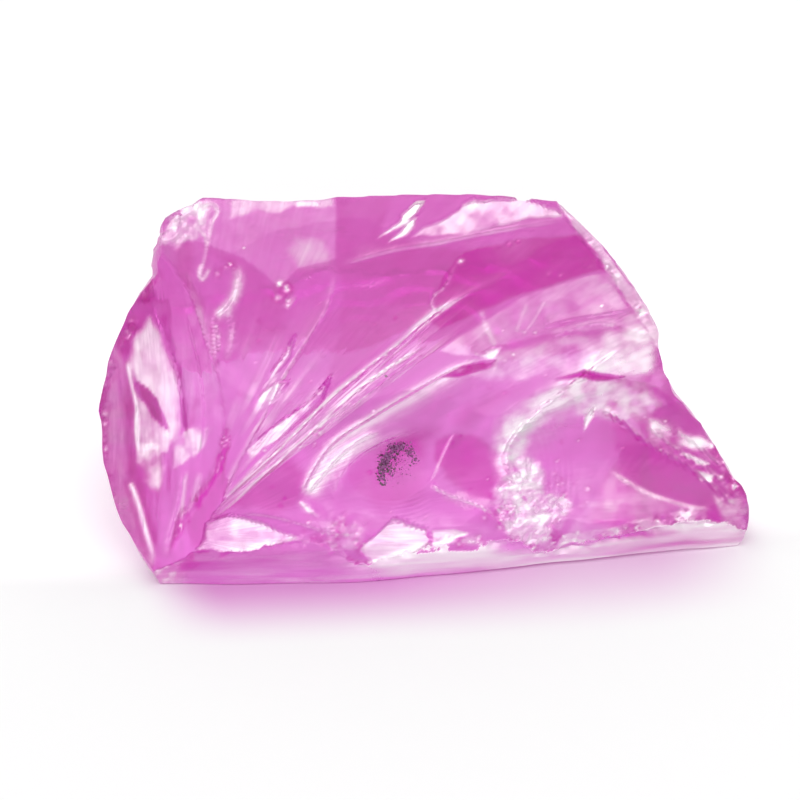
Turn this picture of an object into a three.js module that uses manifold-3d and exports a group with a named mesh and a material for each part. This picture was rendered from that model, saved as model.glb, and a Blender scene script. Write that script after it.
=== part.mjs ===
// A rough, clear pink crystal: one broken lump that rests on a flat break.
// Millimetres, +Z up. Its long lower edge runs along X at the front, where Y is least.
// It starts as a block. Each break is cut by a slab whose near side has the shape of the break.

import * as THREE from 'three';
import { mergeVertices } from 'three/addons/utils/BufferGeometryUtils.js';
import Module from 'manifold-3d';

const wasm = await Module();
wasm.setup();

// Driving dimensions of the whole lump.
const length = 50;
const depth = 36;
const height = 24.4;
const slabThickness = 30;

// The main face leans back. On it, s runs across and t runs up the slope.
const faceLean = { across: 0.1206, up: 0.8139 };
const faceOrigin = new THREE.Vector3(0, 2.634, 3);
const faceCell = 0.85;
const hollows = [
  { s: -1.6, t: 5.5, halfWidth: 8.5, halfHeight: 5.5, deep: 0.8 },
  { s: 15.5, t: 5.2, halfWidth: 10, halfHeight: 5.6, deep: 1.4 },
  { s: 3.4, t: 0.2, halfWidth: 6.5, halfHeight: 3.4, deep: 0.6 },
  { s: -5, t: 17.5, halfWidth: 12, halfHeight: 7, deep: 0.5 },
  { s: -14.3, t: 1.1, halfWidth: 4.3, halfHeight: 1.5, deep: 0.5 },
  { s: -2.3, t: -0.2, halfWidth: 2.8, halfHeight: 1.8, deep: 0.4 },
];
const hackles = [
  { from: [-17.4, 2], to: [10.4, 20.3], bend: 1.6, tall: 0.6, wide: 1.7 },
  { from: [-16.2, 2.4], to: [2, 14.8], bend: 0.6, tall: 0.3, wide: 1.5 },
  { from: [-16.6, 2.8], to: [-5.3, 21.6], bend: -1.2, tall: 0.4, wide: 1.6 },
  { from: [-8.9, 3.3], to: [6.2, 13.4], bend: 2.2, tall: 0.5, wide: 1.8 },
];
const chips = { count: 22, least: 0.5, most: 1.1 };

const up = new THREE.Vector3(0, 0, 1);
const faceNormal = new THREE.Vector3(faceLean.across, -1, faceLean.up).normalize();
const faceAcross = new THREE.Vector3().crossVectors(up, faceNormal).normalize();
const faceUp = new THREE.Vector3().crossVectors(faceNormal, faceAcross);

// A point on the main face, s across it and t up it.
function onFace(s, t) {
  return faceOrigin.clone().addScaledVector(faceAcross, s).addScaledVector(faceUp, t);
}

function solidFrom(geometry) {
  const bare = geometry.clone();
  bare.deleteAttribute('normal');
  bare.deleteAttribute('uv');
  const welded = mergeVertices(bare, 1e-4);
  const mesh = new wasm.Mesh({
    numProp: 3,
    vertProperties: welded.attributes.position.array,
    triVerts: Uint32Array.from(welded.index.array),
  });
  return new wasm.Manifold(mesh);
}

// A slab laid on a break: facing points out of the crystal, along points up the break.
// relief(x, y) lifts the break out of its flat, where x is across it and y is along it.
function breakSlab({ at, facing, along = up, size, cells, relief }) {
  const outward = facing.clone().normalize();
  const across = new THREE.Vector3().crossVectors(along, outward).normalize();
  const upward = new THREE.Vector3().crossVectors(outward, across);
  const slab = new THREE.BoxGeometry(size[0], size[1], slabThickness, cells[0], cells[1], 1);
  slab.translate(0, 0, slabThickness / 2);
  const points = slab.attributes.position;
  for (let i = 0; i < points.count; i += 1) {
    if (points.getZ(i) < 1e-6) {
      points.setZ(i, relief(points.getX(i), points.getY(i)));
    }
  }
  slab.applyMatrix4(new THREE.Matrix4().makeBasis(across, upward, outward).setPosition(at));
  return solidFrom(slab);
}

// A shell-like scoop with a sharp rim: 1 in its middle, 0 at the rim and beyond.
function scoop(x, y, halfWidth, halfHeight) {
  return Math.max(0, 1 - (x / halfWidth) ** 2 - (y / halfHeight) ** 2);
}

// A hackle: a curved ridge that fades in at its root and out at its far end.
function hackleAt(s, t, { from, to, bend, tall, wide }) {
  const run = [to[0] - from[0], to[1] - from[1]];
  const span = Math.hypot(run[0], run[1]);
  const offset = [s - from[0], t - from[1]];
  const k = (offset[0] * run[0] + offset[1] * run[1]) / span ** 2;
  if (k <= 0 || k >= 1) {
    return 0;
  }
  const aside = (run[0] * offset[1] - run[1] * offset[0]) / span - bend * 4 * k * (1 - k);
  const fade = Math.min(1, k * 6, (1 - k) * 3);
  return tall * fade * Math.max(0, 1 - Math.abs(aside) / wide);
}

function mainFace() {
  const middle = { s: 0, t: 12 };
  const relief = (x, y) => {
    const s = x + middle.s;
    const t = y + middle.t;
    const bowl = (hollow) => scoop(s - hollow.s, t - hollow.t, hollow.halfWidth, hollow.halfHeight);
    const carved = hollows.reduce((sum, hollow) => sum + hollow.deep * bowl(hollow), 0);
    const raised = hackles.reduce((tallest, hackle) => Math.max(tallest, hackleAt(s, t, hackle)), 0);
    return raised - carved;
  };
  const size = [length + 6, 34];
  return breakSlab({
    at: onFace(middle.s, middle.t),
    facing: faceNormal,
    size,
    cells: size.map((side) => Math.round(side / faceCell)),
    relief,
  });
}

// The band along the long lower edge. Its foot swells forward near the left third, so it leans back there.
function frontBand() {
  const swell = 1.2;
  const crown = -8;
  const relief = (x, y) => {
    const reach = x < crown ? (crown - x) / 14 : (x - crown) / 30;
    const lean = Math.max(0, 1 - 0.3 * (y + 4));
    return swell * (1 - reach ** 1.4) * lean;
  };
  return breakSlab({
    at: new THREE.Vector3(3, 2.75, 4),
    facing: new THREE.Vector3(0.1079, -0.9942, 0),
    size: [length + 4, 16],
    cells: [36, 12],
    relief,
  });
}

// The lens-shaped break at the left of the main face, hollow like the inside of a shell.
function leftLens() {
  const relief = (x, y) => 0.5 - 1.5 * (1 - (y / 12) ** 2) + 0.25 * (Math.min(0, x) / 5) ** 2;
  return breakSlab({
    at: new THREE.Vector3(-17.6, 6.5, 10.5),
    facing: new THREE.Vector3(-0.336, -0.738, 0.585),
    along: new THREE.Vector3(-0.03, 0.628, 0.777),
    size: [16, 34],
    cells: [8, 17],
    relief,
  });
}

// The left side is round in outline up to its shoulder, and rolls in towards the lens.
function leftSide() {
  const shoulder = 12.4;
  const relief = (x, y) => {
    const round = 2.5 * (Math.min(y, shoulder) / 9) ** 2 + 0.15 * Math.max(0, y - shoulder);
    const rolled = Math.max(0, 3.5 + x) / 3.5;
    const tucked = Math.max(0, -x - 12) / 12;
    return -round - 1.4 * rolled ** 2 - 0.8 * tucked ** 2;
  };
  return breakSlab({
    at: onFace(0.5 - length / 2, 9),
    facing: faceAcross.clone().negate().addScaledVector(faceNormal, -0.1),
    along: faceUp,
    size: [76, 44],
    cells: [30, 20],
    relief,
  });
}

// The blunt corner over the shoulder.
function topCorner() {
  return breakSlab({
    at: onFace(-18, 25),
    facing: faceUp.clone().addScaledVector(faceAcross, -1).addScaledVector(faceNormal, -0.05),
    along: faceNormal,
    size: [14, 40],
    cells: [14, 8],
    relief: (x) => 0.45 * scoop(x + 0.5, 0, 1.9, 1) - 0.05 * x ** 2,
  });
}

const crestUp = onFace(12, 25.1).sub(onFace(25.1, 0.8)).normalize();
const crestOut = new THREE.Vector3().crossVectors(crestUp, faceNormal).normalize();
const crestFacing = crestOut.clone().addScaledVector(faceNormal, 0.13);

function rightUpper() {
  const relief = (x, y) => {
    const bow = 0.5 - 1.1 * ((Math.max(y, -5) + 0.5) / 7.9) ** 2;
    const rising = 1 - 0.4 * THREE.MathUtils.smoothstep(-y, 9, 14);
    const tuck = 1.1 * rising * THREE.MathUtils.smoothstep(-y, 3.3, 6.5);
    return bow - tuck - 0.5 * scoop(x - 12, y, 11, 12);
  };
  return breakSlab({
    at: onFace(17.3, 17.7),
    facing: crestFacing,
    along: crestUp,
    size: [70, 34],
    cells: [12, 20],
    relief,
  });
}

// The lower right break leans the other way, so the outline bends where the two meet.
function rightLower() {
  const relief = (x, y) => {
    const swell = 0.65 * scoop(0, y - 0.5, 1, 6.5) + 0.12 * Math.max(0, y - 8) ** 2;
    return swell - 0.15 - 0.5 * scoop(x - 9, y, 10, 9);
  };
  return breakSlab({
    at: onFace(23.6, 3.3),
    facing: crestFacing.clone().addScaledVector(crestUp, -0.02),
    along: crestUp,
    size: [70, 25.4],
    cells: [14, 16],
    relief,
  });
}

function rightTip() {
  return breakSlab({
    at: new THREE.Vector3(length / 2, 5.6, 2.4),
    facing: new THREE.Vector3(1, -0.12, 0.02),
    size: [30, 10],
    cells: [20, 5],
    relief: (x, y) => -(x < 0 ? 0.1 : 0.003) * x ** 2 - 0.07 * y ** 2,
  });
}

// The crest is not straight: it arches up in its middle and dips before the shoulder.
function crestLine(x, y) {
  return 0.46 * scoop(x + 4, y, 9, 6) - 0.23 * scoop(x - 8.2, y, 4.5, 5);
}

// The back is a stack of breaks, each steeper than the one above it, with one across each back corner.
function backBreaks() {
  const breaks = [
    { at: [-3.35, 18.65, 23.25], facing: [-0.036, 0.833, 0.552], size: [60, 30], deep: 0.5, middle: [0, -8] },
    { at: [-19, 17.6, 24], facing: [-0.06, 0.86, 0.5], size: [23.4, 34], deep: 0.7, middle: [-1, -9] },
    { at: [0.5, 26, 13.9], facing: [-0.089, 0.9, 0.426], size: [60, 36], deep: 0.3, middle: [-8, -5] },
    { at: [5.6, 31, 4.4], facing: [-0.092, 0.976, 0.193], size: [60, 30], deep: 0.6, middle: [-6, 0] },
    { at: [-12.2, 27.2, 8.2], facing: [-0.02, 0.955, 0.296], size: [60, 40], deep: 0.8, middle: [2, -2] },
    { at: [-20.8, 25, 8], facing: [-0.78, 0.6, 0.15], size: [40, 50], deep: 0.6, middle: [0, 2] },
    { at: [17.8, 28, 3], facing: [0.62, 0.77, 0.12], size: [40, 50], deep: 0.7, middle: [0, 4] },
  ];
  return breaks.map(({ at, facing, size, deep, middle }, index) => {
    // The short break eases out of the stone at both ends instead of stopping at a slit.
    const ends = size[0] / 2 - 4.5;
    const relief = (x, y) => {
      const ease = size[0] < 30 ? 1.5 * THREE.MathUtils.smoothstep(Math.abs(x), ends, ends + 4.5) : 0;
      return ease + (index === 0 ? crestLine(x, y) : 0) - deep * scoop(x - middle[0], y - middle[1], 13, 9);
    };
    return breakSlab({
      at: new THREE.Vector3(...at),
      facing: new THREE.Vector3(...facing),
      size,
      cells: size.map((side) => Math.round(side / 3)),
      relief,
    });
  });
}

// Bruises along the sharp edges, the same ones on every run.
function edgeChips() {
  const runs = [
    { from: onFace(-19, -0.3), to: onFace(24.3, -1.4), share: 0.5, steer: 0 },
    { from: onFace(-20.2, 20.6), to: onFace(-15.6, 27), share: 0.22, steer: 0.9 },
    { from: onFace(25, 1.5), to: onFace(13.6, 24), share: 0.28, steer: -1.1 },
  ];
  return runs.flatMap(({ from, to, share, steer }, run) => {
    const count = Math.round(chips.count * share);
    return Array.from({ length: count }, (_, i) => {
      const spread = Math.abs(Math.sin(12.9898 * (i + 1) + 78.233 * (run + 1)));
      const radius = chips.least + (chips.most - chips.least) * spread;
      const chip = new THREE.SphereGeometry(radius, 8, 6);
      chip.scale(2, 0.9, 0.9);
      const place = from.clone().lerp(to, (i + 0.5 + 0.7 * (spread - 0.5)) / count);
      place.addScaledVector(faceNormal, radius * (0.3 + 0.3 * spread));
      const turn = new THREE.Matrix4().makeBasis(faceAcross, faceUp, faceNormal);
      chip.applyMatrix4(turn.multiply(new THREE.Matrix4().makeRotationZ(steer + spread - 0.5)));
      chip.translate(place.x, place.y, place.z);
      return solidFrom(chip);
    });
  });
}

function crystalGeometry() {
  const block = new THREE.BoxGeometry(length + 4, depth, height);
  block.translate(0, depth / 2 - 1, height / 2);
  const cuts = [
    mainFace(),
    frontBand(),
    leftLens(),
    leftSide(),
    topCorner(),
    rightUpper(),
    rightLower(),
    rightTip(),
    ...backBreaks(),
    ...edgeChips(),
  ];
  const lump = cuts.reduce((solid, cut) => solid.subtract(cut), solidFrom(block));
  const { vertProperties, triVerts } = lump.getMesh();
  const geometry = new THREE.BufferGeometry();
  geometry.setAttribute('position', new THREE.BufferAttribute(vertProperties, 3));
  geometry.setIndex(new THREE.BufferAttribute(triVerts, 1));
  return geometry;
}

function crystal() {
  const geometry = crystalGeometry();
  geometry.computeBoundingBox();
  const { min, max } = geometry.boundingBox;
  geometry.translate(-(min.x + max.x) / 2, -(min.y + max.y) / 2, -min.z);
  geometry.computeVertexNormals();
  const pinkCrystal = new THREE.MeshStandardMaterial({ color: 0xd864be, roughness: 0.06, metalness: 0 });
  const mesh = new THREE.Mesh(geometry, pinkCrystal);
  mesh.name = 'crystal';
  return mesh;
}

const group = new THREE.Group();
group.add(crystal());

export default group;
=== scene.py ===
# A rough, clear pink crystal on white paper, broken out of a block by one slab for each natural break.
import math
import bpy
import numpy as np
from mathutils import Matrix, Vector


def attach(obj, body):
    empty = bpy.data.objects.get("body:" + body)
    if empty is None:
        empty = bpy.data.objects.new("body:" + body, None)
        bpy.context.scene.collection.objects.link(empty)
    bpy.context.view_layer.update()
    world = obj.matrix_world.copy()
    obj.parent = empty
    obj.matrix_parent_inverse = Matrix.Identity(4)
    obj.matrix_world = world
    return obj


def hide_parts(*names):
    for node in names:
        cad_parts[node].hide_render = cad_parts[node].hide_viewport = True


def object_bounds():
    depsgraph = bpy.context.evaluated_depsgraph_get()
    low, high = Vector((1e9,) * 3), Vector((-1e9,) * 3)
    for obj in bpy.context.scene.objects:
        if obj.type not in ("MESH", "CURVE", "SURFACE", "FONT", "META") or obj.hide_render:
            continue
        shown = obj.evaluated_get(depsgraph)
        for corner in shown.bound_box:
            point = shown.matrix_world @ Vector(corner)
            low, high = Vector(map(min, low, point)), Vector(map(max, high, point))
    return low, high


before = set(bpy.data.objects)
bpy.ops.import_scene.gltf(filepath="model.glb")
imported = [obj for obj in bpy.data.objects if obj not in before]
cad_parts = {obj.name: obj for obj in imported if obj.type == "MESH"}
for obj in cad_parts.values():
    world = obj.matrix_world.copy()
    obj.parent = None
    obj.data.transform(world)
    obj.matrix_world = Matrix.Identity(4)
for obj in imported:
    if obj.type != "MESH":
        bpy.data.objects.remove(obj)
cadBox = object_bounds()
print("frame loaded, box", [round(side, 4) for side in cadBox[1] - cadBox[0]])

lump = {  # millimetres: x along the long edge, y away from the viewer, z up
    "length": 50.193,
    "boxMiddle": (0.110, 15.337),
    "block": ((-27, -1, -0.5), (27, 35, 24.4)),
    "slabThick": 30.0,
    "sharpAngle": 30.0,
}
mm = (cadBox[1].x - cadBox[0].x) / lump["length"]  # metres in the frame for one millimetre of the lump
middle = (cadBox[0] + cadBox[1]) / 2
lumpZero = Vector((
    middle.x - lump["boxMiddle"][0] * mm,
    middle.y - lump["boxMiddle"][1] * mm,
    cadBox[0].z,
))


def toFrame(point):
    return lumpZero + Vector(point) * mm


def unit(vector):
    vector = np.array(vector, float)
    return vector / np.linalg.norm(vector)


def axes(facing, along=(0, 0, 1)):  # a break's own directions: across it and up it
    across = unit(np.cross(along, facing))
    return across, np.cross(facing, across)


def smooth(value):
    value = np.clip(value, 0.0, 1.0)
    return value * value * (3.0 - 2.0 * value)


def noise(x, y, size, seed):  # seeded value noise from -1 to 1, one lattice step every size millimetres
    lattice = np.random.default_rng(seed).uniform(-1.0, 1.0, (64, 64))
    u = np.asarray(x) / size
    v = np.asarray(y) / size
    column = np.floor(u).astype(int)
    row = np.floor(v).astype(int)
    f = smooth(u - column)
    g = smooth(v - row)
    left, right = column % 64, (column + 1) % 64
    low, high = row % 64, (row + 1) % 64
    under = lattice[left, low] * (1 - f) + lattice[right, low] * f
    over = lattice[left, high] * (1 - f) + lattice[right, high] * f
    return under * (1 - g) + over * g


def rough(x, y, size, seed, octaves=3):
    total = np.zeros(np.shape(x))
    for octave in range(octaves):
        total = total + noise(x, y, size / 2 ** octave, seed + octave) / 2 ** octave
    return total


def scoop(x, y, halfWidth, halfHeight, turn=0.0):  # a shallow bowl, 1 at its middle and 0 at its rim
    c, d = math.cos(turn), math.sin(turn)
    return np.maximum(0.0, 1.0 - ((x * c + y * d) / halfWidth) ** 2 - ((y * c - x * d) / halfHeight) ** 2)


def curveThrough(points, closed=False, steps=6):
    p = [np.array(point, float) for point in points]
    p = [p[-1]] + p + p[:2] if closed else [2 * p[0] - p[1]] + p + [2 * p[-1] - p[-2]]
    line = []
    for a, b, c, d in zip(p, p[1:], p[2:], p[3:]):
        for step in range(steps):
            k = step / steps
            line.append(0.5 * (2 * b + (c - a) * k + (2 * a - 5 * b + 4 * c - d) * k * k
                               + (3 * b - 3 * c + d - a) * k ** 3))
    return np.array(line if closed else line + [p[-2]])


def beside(points, x, y, reach):  # where along the curve, how far to its left, and which places are near it
    line = curveThrough(points)
    low, high = line.min(0) - reach, line.max(0) + reach
    near = (x > low[0]) & (x < high[0]) & (y > low[1]) & (y < high[1])
    u, v = x[near], y[near]
    along = np.zeros(u.shape)
    side = np.full(u.shape, 1e3)
    for index, (a, b) in enumerate(zip(line, line[1:])):
        run = b - a
        part = np.clip(((u - a[0]) * run[0] + (v - a[1]) * run[1]) / (run @ run), 0, 1)
        dx = u - a[0] - run[0] * part
        dy = v - a[1] - run[1] * part
        away = np.hypot(dx, dy)
        nearer = away < np.abs(side)
        left = np.where(run[0] * dy - run[1] * dx >= 0, 1.0, -1.0)
        side = np.where(nearer, away * left, side)
        along = np.where(nearer, (index + part) / (len(line) - 1), along)
    return along, side, near


def inside(points, x, y, soft, rounded=False):  # 1 within the outline, 0 outside, eased over soft
    line = curveThrough(points, closed=True, steps=4) if rounded else np.array(points, float)
    low, high = line.min(0) - soft, line.max(0) + soft
    near = (x > low[0]) & (x < high[0]) & (y > low[1]) & (y < high[1])
    u, v = x[near], y[near]
    away = np.full(u.shape, 1e3)
    within = np.zeros(u.shape, bool)
    for a, b in zip(line, np.roll(line, -1, 0)):
        run = b - a
        part = np.clip(((u - a[0]) * run[0] + (v - a[1]) * run[1]) / max(run @ run, 1e-9), 0, 1)
        away = np.minimum(away, np.hypot(u - a[0] - run[0] * part, v - a[1] - run[1] * part))
        if a[1] != b[1]:
            crosses = (a[1] > v) != (b[1] > v)
            within ^= crosses & (u < run[0] * (v - a[1]) / run[1] + a[0])
    result = np.zeros(x.shape)
    result[near] = smooth(0.5 + 0.5 * np.where(within, away, -away) / soft)
    return result


class Field:  # what a break's surface is like at each place: its relief and its look
    def __init__(self, x, y):
        self.x, self.y = x, y
        self.relief = np.zeros(x.shape)  # millimetres, out of the face
        self.shine = np.zeros(x.shape)  # silvery, as a crack just under the surface is
        self.toneAndShade = np.zeros(x.shape)  # deeper pink above 0, paler below: mostly painted shade and painted light in place of what the stone shows through itself, partly its own tone
        self.frost = np.zeros(x.shape)  # dull

    def stroke(self, points, tall=0.0, wide=0.5, shine=0.0, band=(0.12, 0.12), toneAndShade=0.0, kind="step",
               fadeIn=0.12, fadeOut=0.25, broken=0.0, frost=0.0):
        along, side, near = beside(points, self.x, self.y, max(wide * 5, max(band) * 3))
        fade = smooth(along / fadeIn) * smooth((1 - along) / fadeOut)
        away = np.abs(side)
        if kind == "step":  # a small cliff on the line that eases off to its left
            shape = np.exp(-away / wide) * smooth((side + 0.15) / 0.3)
        else:  # a groove
            shape = -np.exp(-((side / wide) ** 2))
        self.relief[near] += tall * fade * shape
        glow = np.exp(-((side / np.where(side > 0, band[0], band[1])) ** 2)) * fade
        if broken:
            glow = glow * np.clip(1 - broken * (0.6 + noise(along * 40, side * 3, 1.0, 3)), 0, 1)
        self.shine[near] += shine * glow
        # painted shade and painted light along the line, as deeper and paler pink
        self.toneAndShade[near] += toneAndShade * glow
        self.frost[near] += frost * glow

    def patch(self, points, soft=0.3, rounded=False, tilt=0.0, shine=0.0, toneAndShade=0.0, frost=0.0, crumple=0.0,
              mottle=0.0, warp=0.25):
        x = self.x + warp * rough(self.x, self.y, 1.6, 71)
        y = self.y + warp * rough(self.x, self.y, 1.6, 81)
        mask = inside(points, x, y, soft, rounded)
        if tilt:  # a flat flake scar, deeper towards its upper end
            lowest = min(point[1] for point in points)
            flat = inside(points, x, y, 0.12, rounded)
            self.relief -= math.tan(math.radians(tilt)) * np.maximum(0, y - lowest) * flat
        if crumple:
            self.relief += crumple * mask * (1 - 2 * np.abs(rough(self.x, self.y, 0.9, 91, 2)))
        if mottle:
            mask = mask * np.clip(1 - mottle * (0.6 + 1.1 * rough(self.x, self.y, 0.9, 101)), 0, 1.25)
        self.shine += shine * mask
        # painted shade and painted light over the patch, as deeper and paler pink
        self.toneAndShade += toneAndShade * mask
        self.frost += frost * mask

    def fan(self, centre, lines):  # straight hackles out of one point
        angle = np.degrees(np.arctan2(self.y - centre[1], self.x - centre[0]))
        reach = np.hypot(self.y - centre[1], self.x - centre[0])
        for at, start, stop, wide, tall, shine in lines:
            side = np.radians(angle - at) * reach
            near = (np.abs(side) < wide * 6) & (reach > start) & (reach < stop)
            s, r = side[near], reach[near]
            fade = smooth((r - start) / 3) * smooth((stop - r) / 5)
            self.relief[near] += tall * fade * np.exp(-np.abs(s) / (2 * wide)) * smooth((s + 0.12) / 0.24)
            broken = 0.65 + 0.5 * noise(r, s * 0 + at * 7, 1.7, 17)
            self.shine[near] += shine * fade * broken * np.exp(-((s / wide) ** 2))

    def ripples(self, centre, stretch, turn, inner, outer, start, stop, spacing, tall):
        c, d = math.cos(math.radians(turn)), math.sin(math.radians(turn))
        u = (self.x - centre[0]) * c + (self.y - centre[1]) * d
        v = ((self.y - centre[1]) * c - (self.x - centre[0]) * d) * stretch
        reach = np.hypot(u, v) + 0.12 * noise(self.x, self.y, 2.5, 23)
        angle = (np.degrees(np.arctan2(v, u)) - start) % 360
        mask = smooth((reach - inner) / 0.8) * smooth((outer - reach) / 1.2)
        mask = mask * smooth(angle / 18) * smooth((stop - start - angle) / 18)
        wave = np.sin(2 * math.pi * reach / spacing + 1.5 * noise(u, v, 3.0, 29))
        self.relief += tall * mask * wave
        # painted shade in the troughs and painted light on the crests
        self.toneAndShade -= 12 * tall * mask * wave

    def beads(self, points, count, size, tall, shine, seed, spread=0.3):  # tiny chips strung along a line
        rng = np.random.default_rng(seed)
        line = curveThrough(points, steps=12)
        for place in rng.uniform(0, 1, count) * (len(line) - 1.01):
            index = int(place)
            spot = line[index] + (line[index + 1] - line[index]) * (place - index)
            spot = spot + rng.normal(0, spread, 2)
            radius = size * rng.uniform(0.5, 1.3)
            high = tall * rng.uniform(-1.0, 0.6)
            bright = shine * rng.uniform(0, 1) ** 2
            near = (np.abs(self.x - spot[0]) < radius * 2) & (np.abs(self.y - spot[1]) < radius * 2)
            away = np.hypot(self.x[near] - spot[0], self.y[near] - spot[1]) / radius
            self.relief[near] += high * np.exp(-away ** 2 * 1.5)
            self.shine[near] += bright * np.exp(-away ** 2 * 3)
            # painted shade: a deeper pink ring round each chip
            self.toneAndShade[near] += 0.5 * np.exp(-((away - 1) * 2) ** 2)


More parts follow.
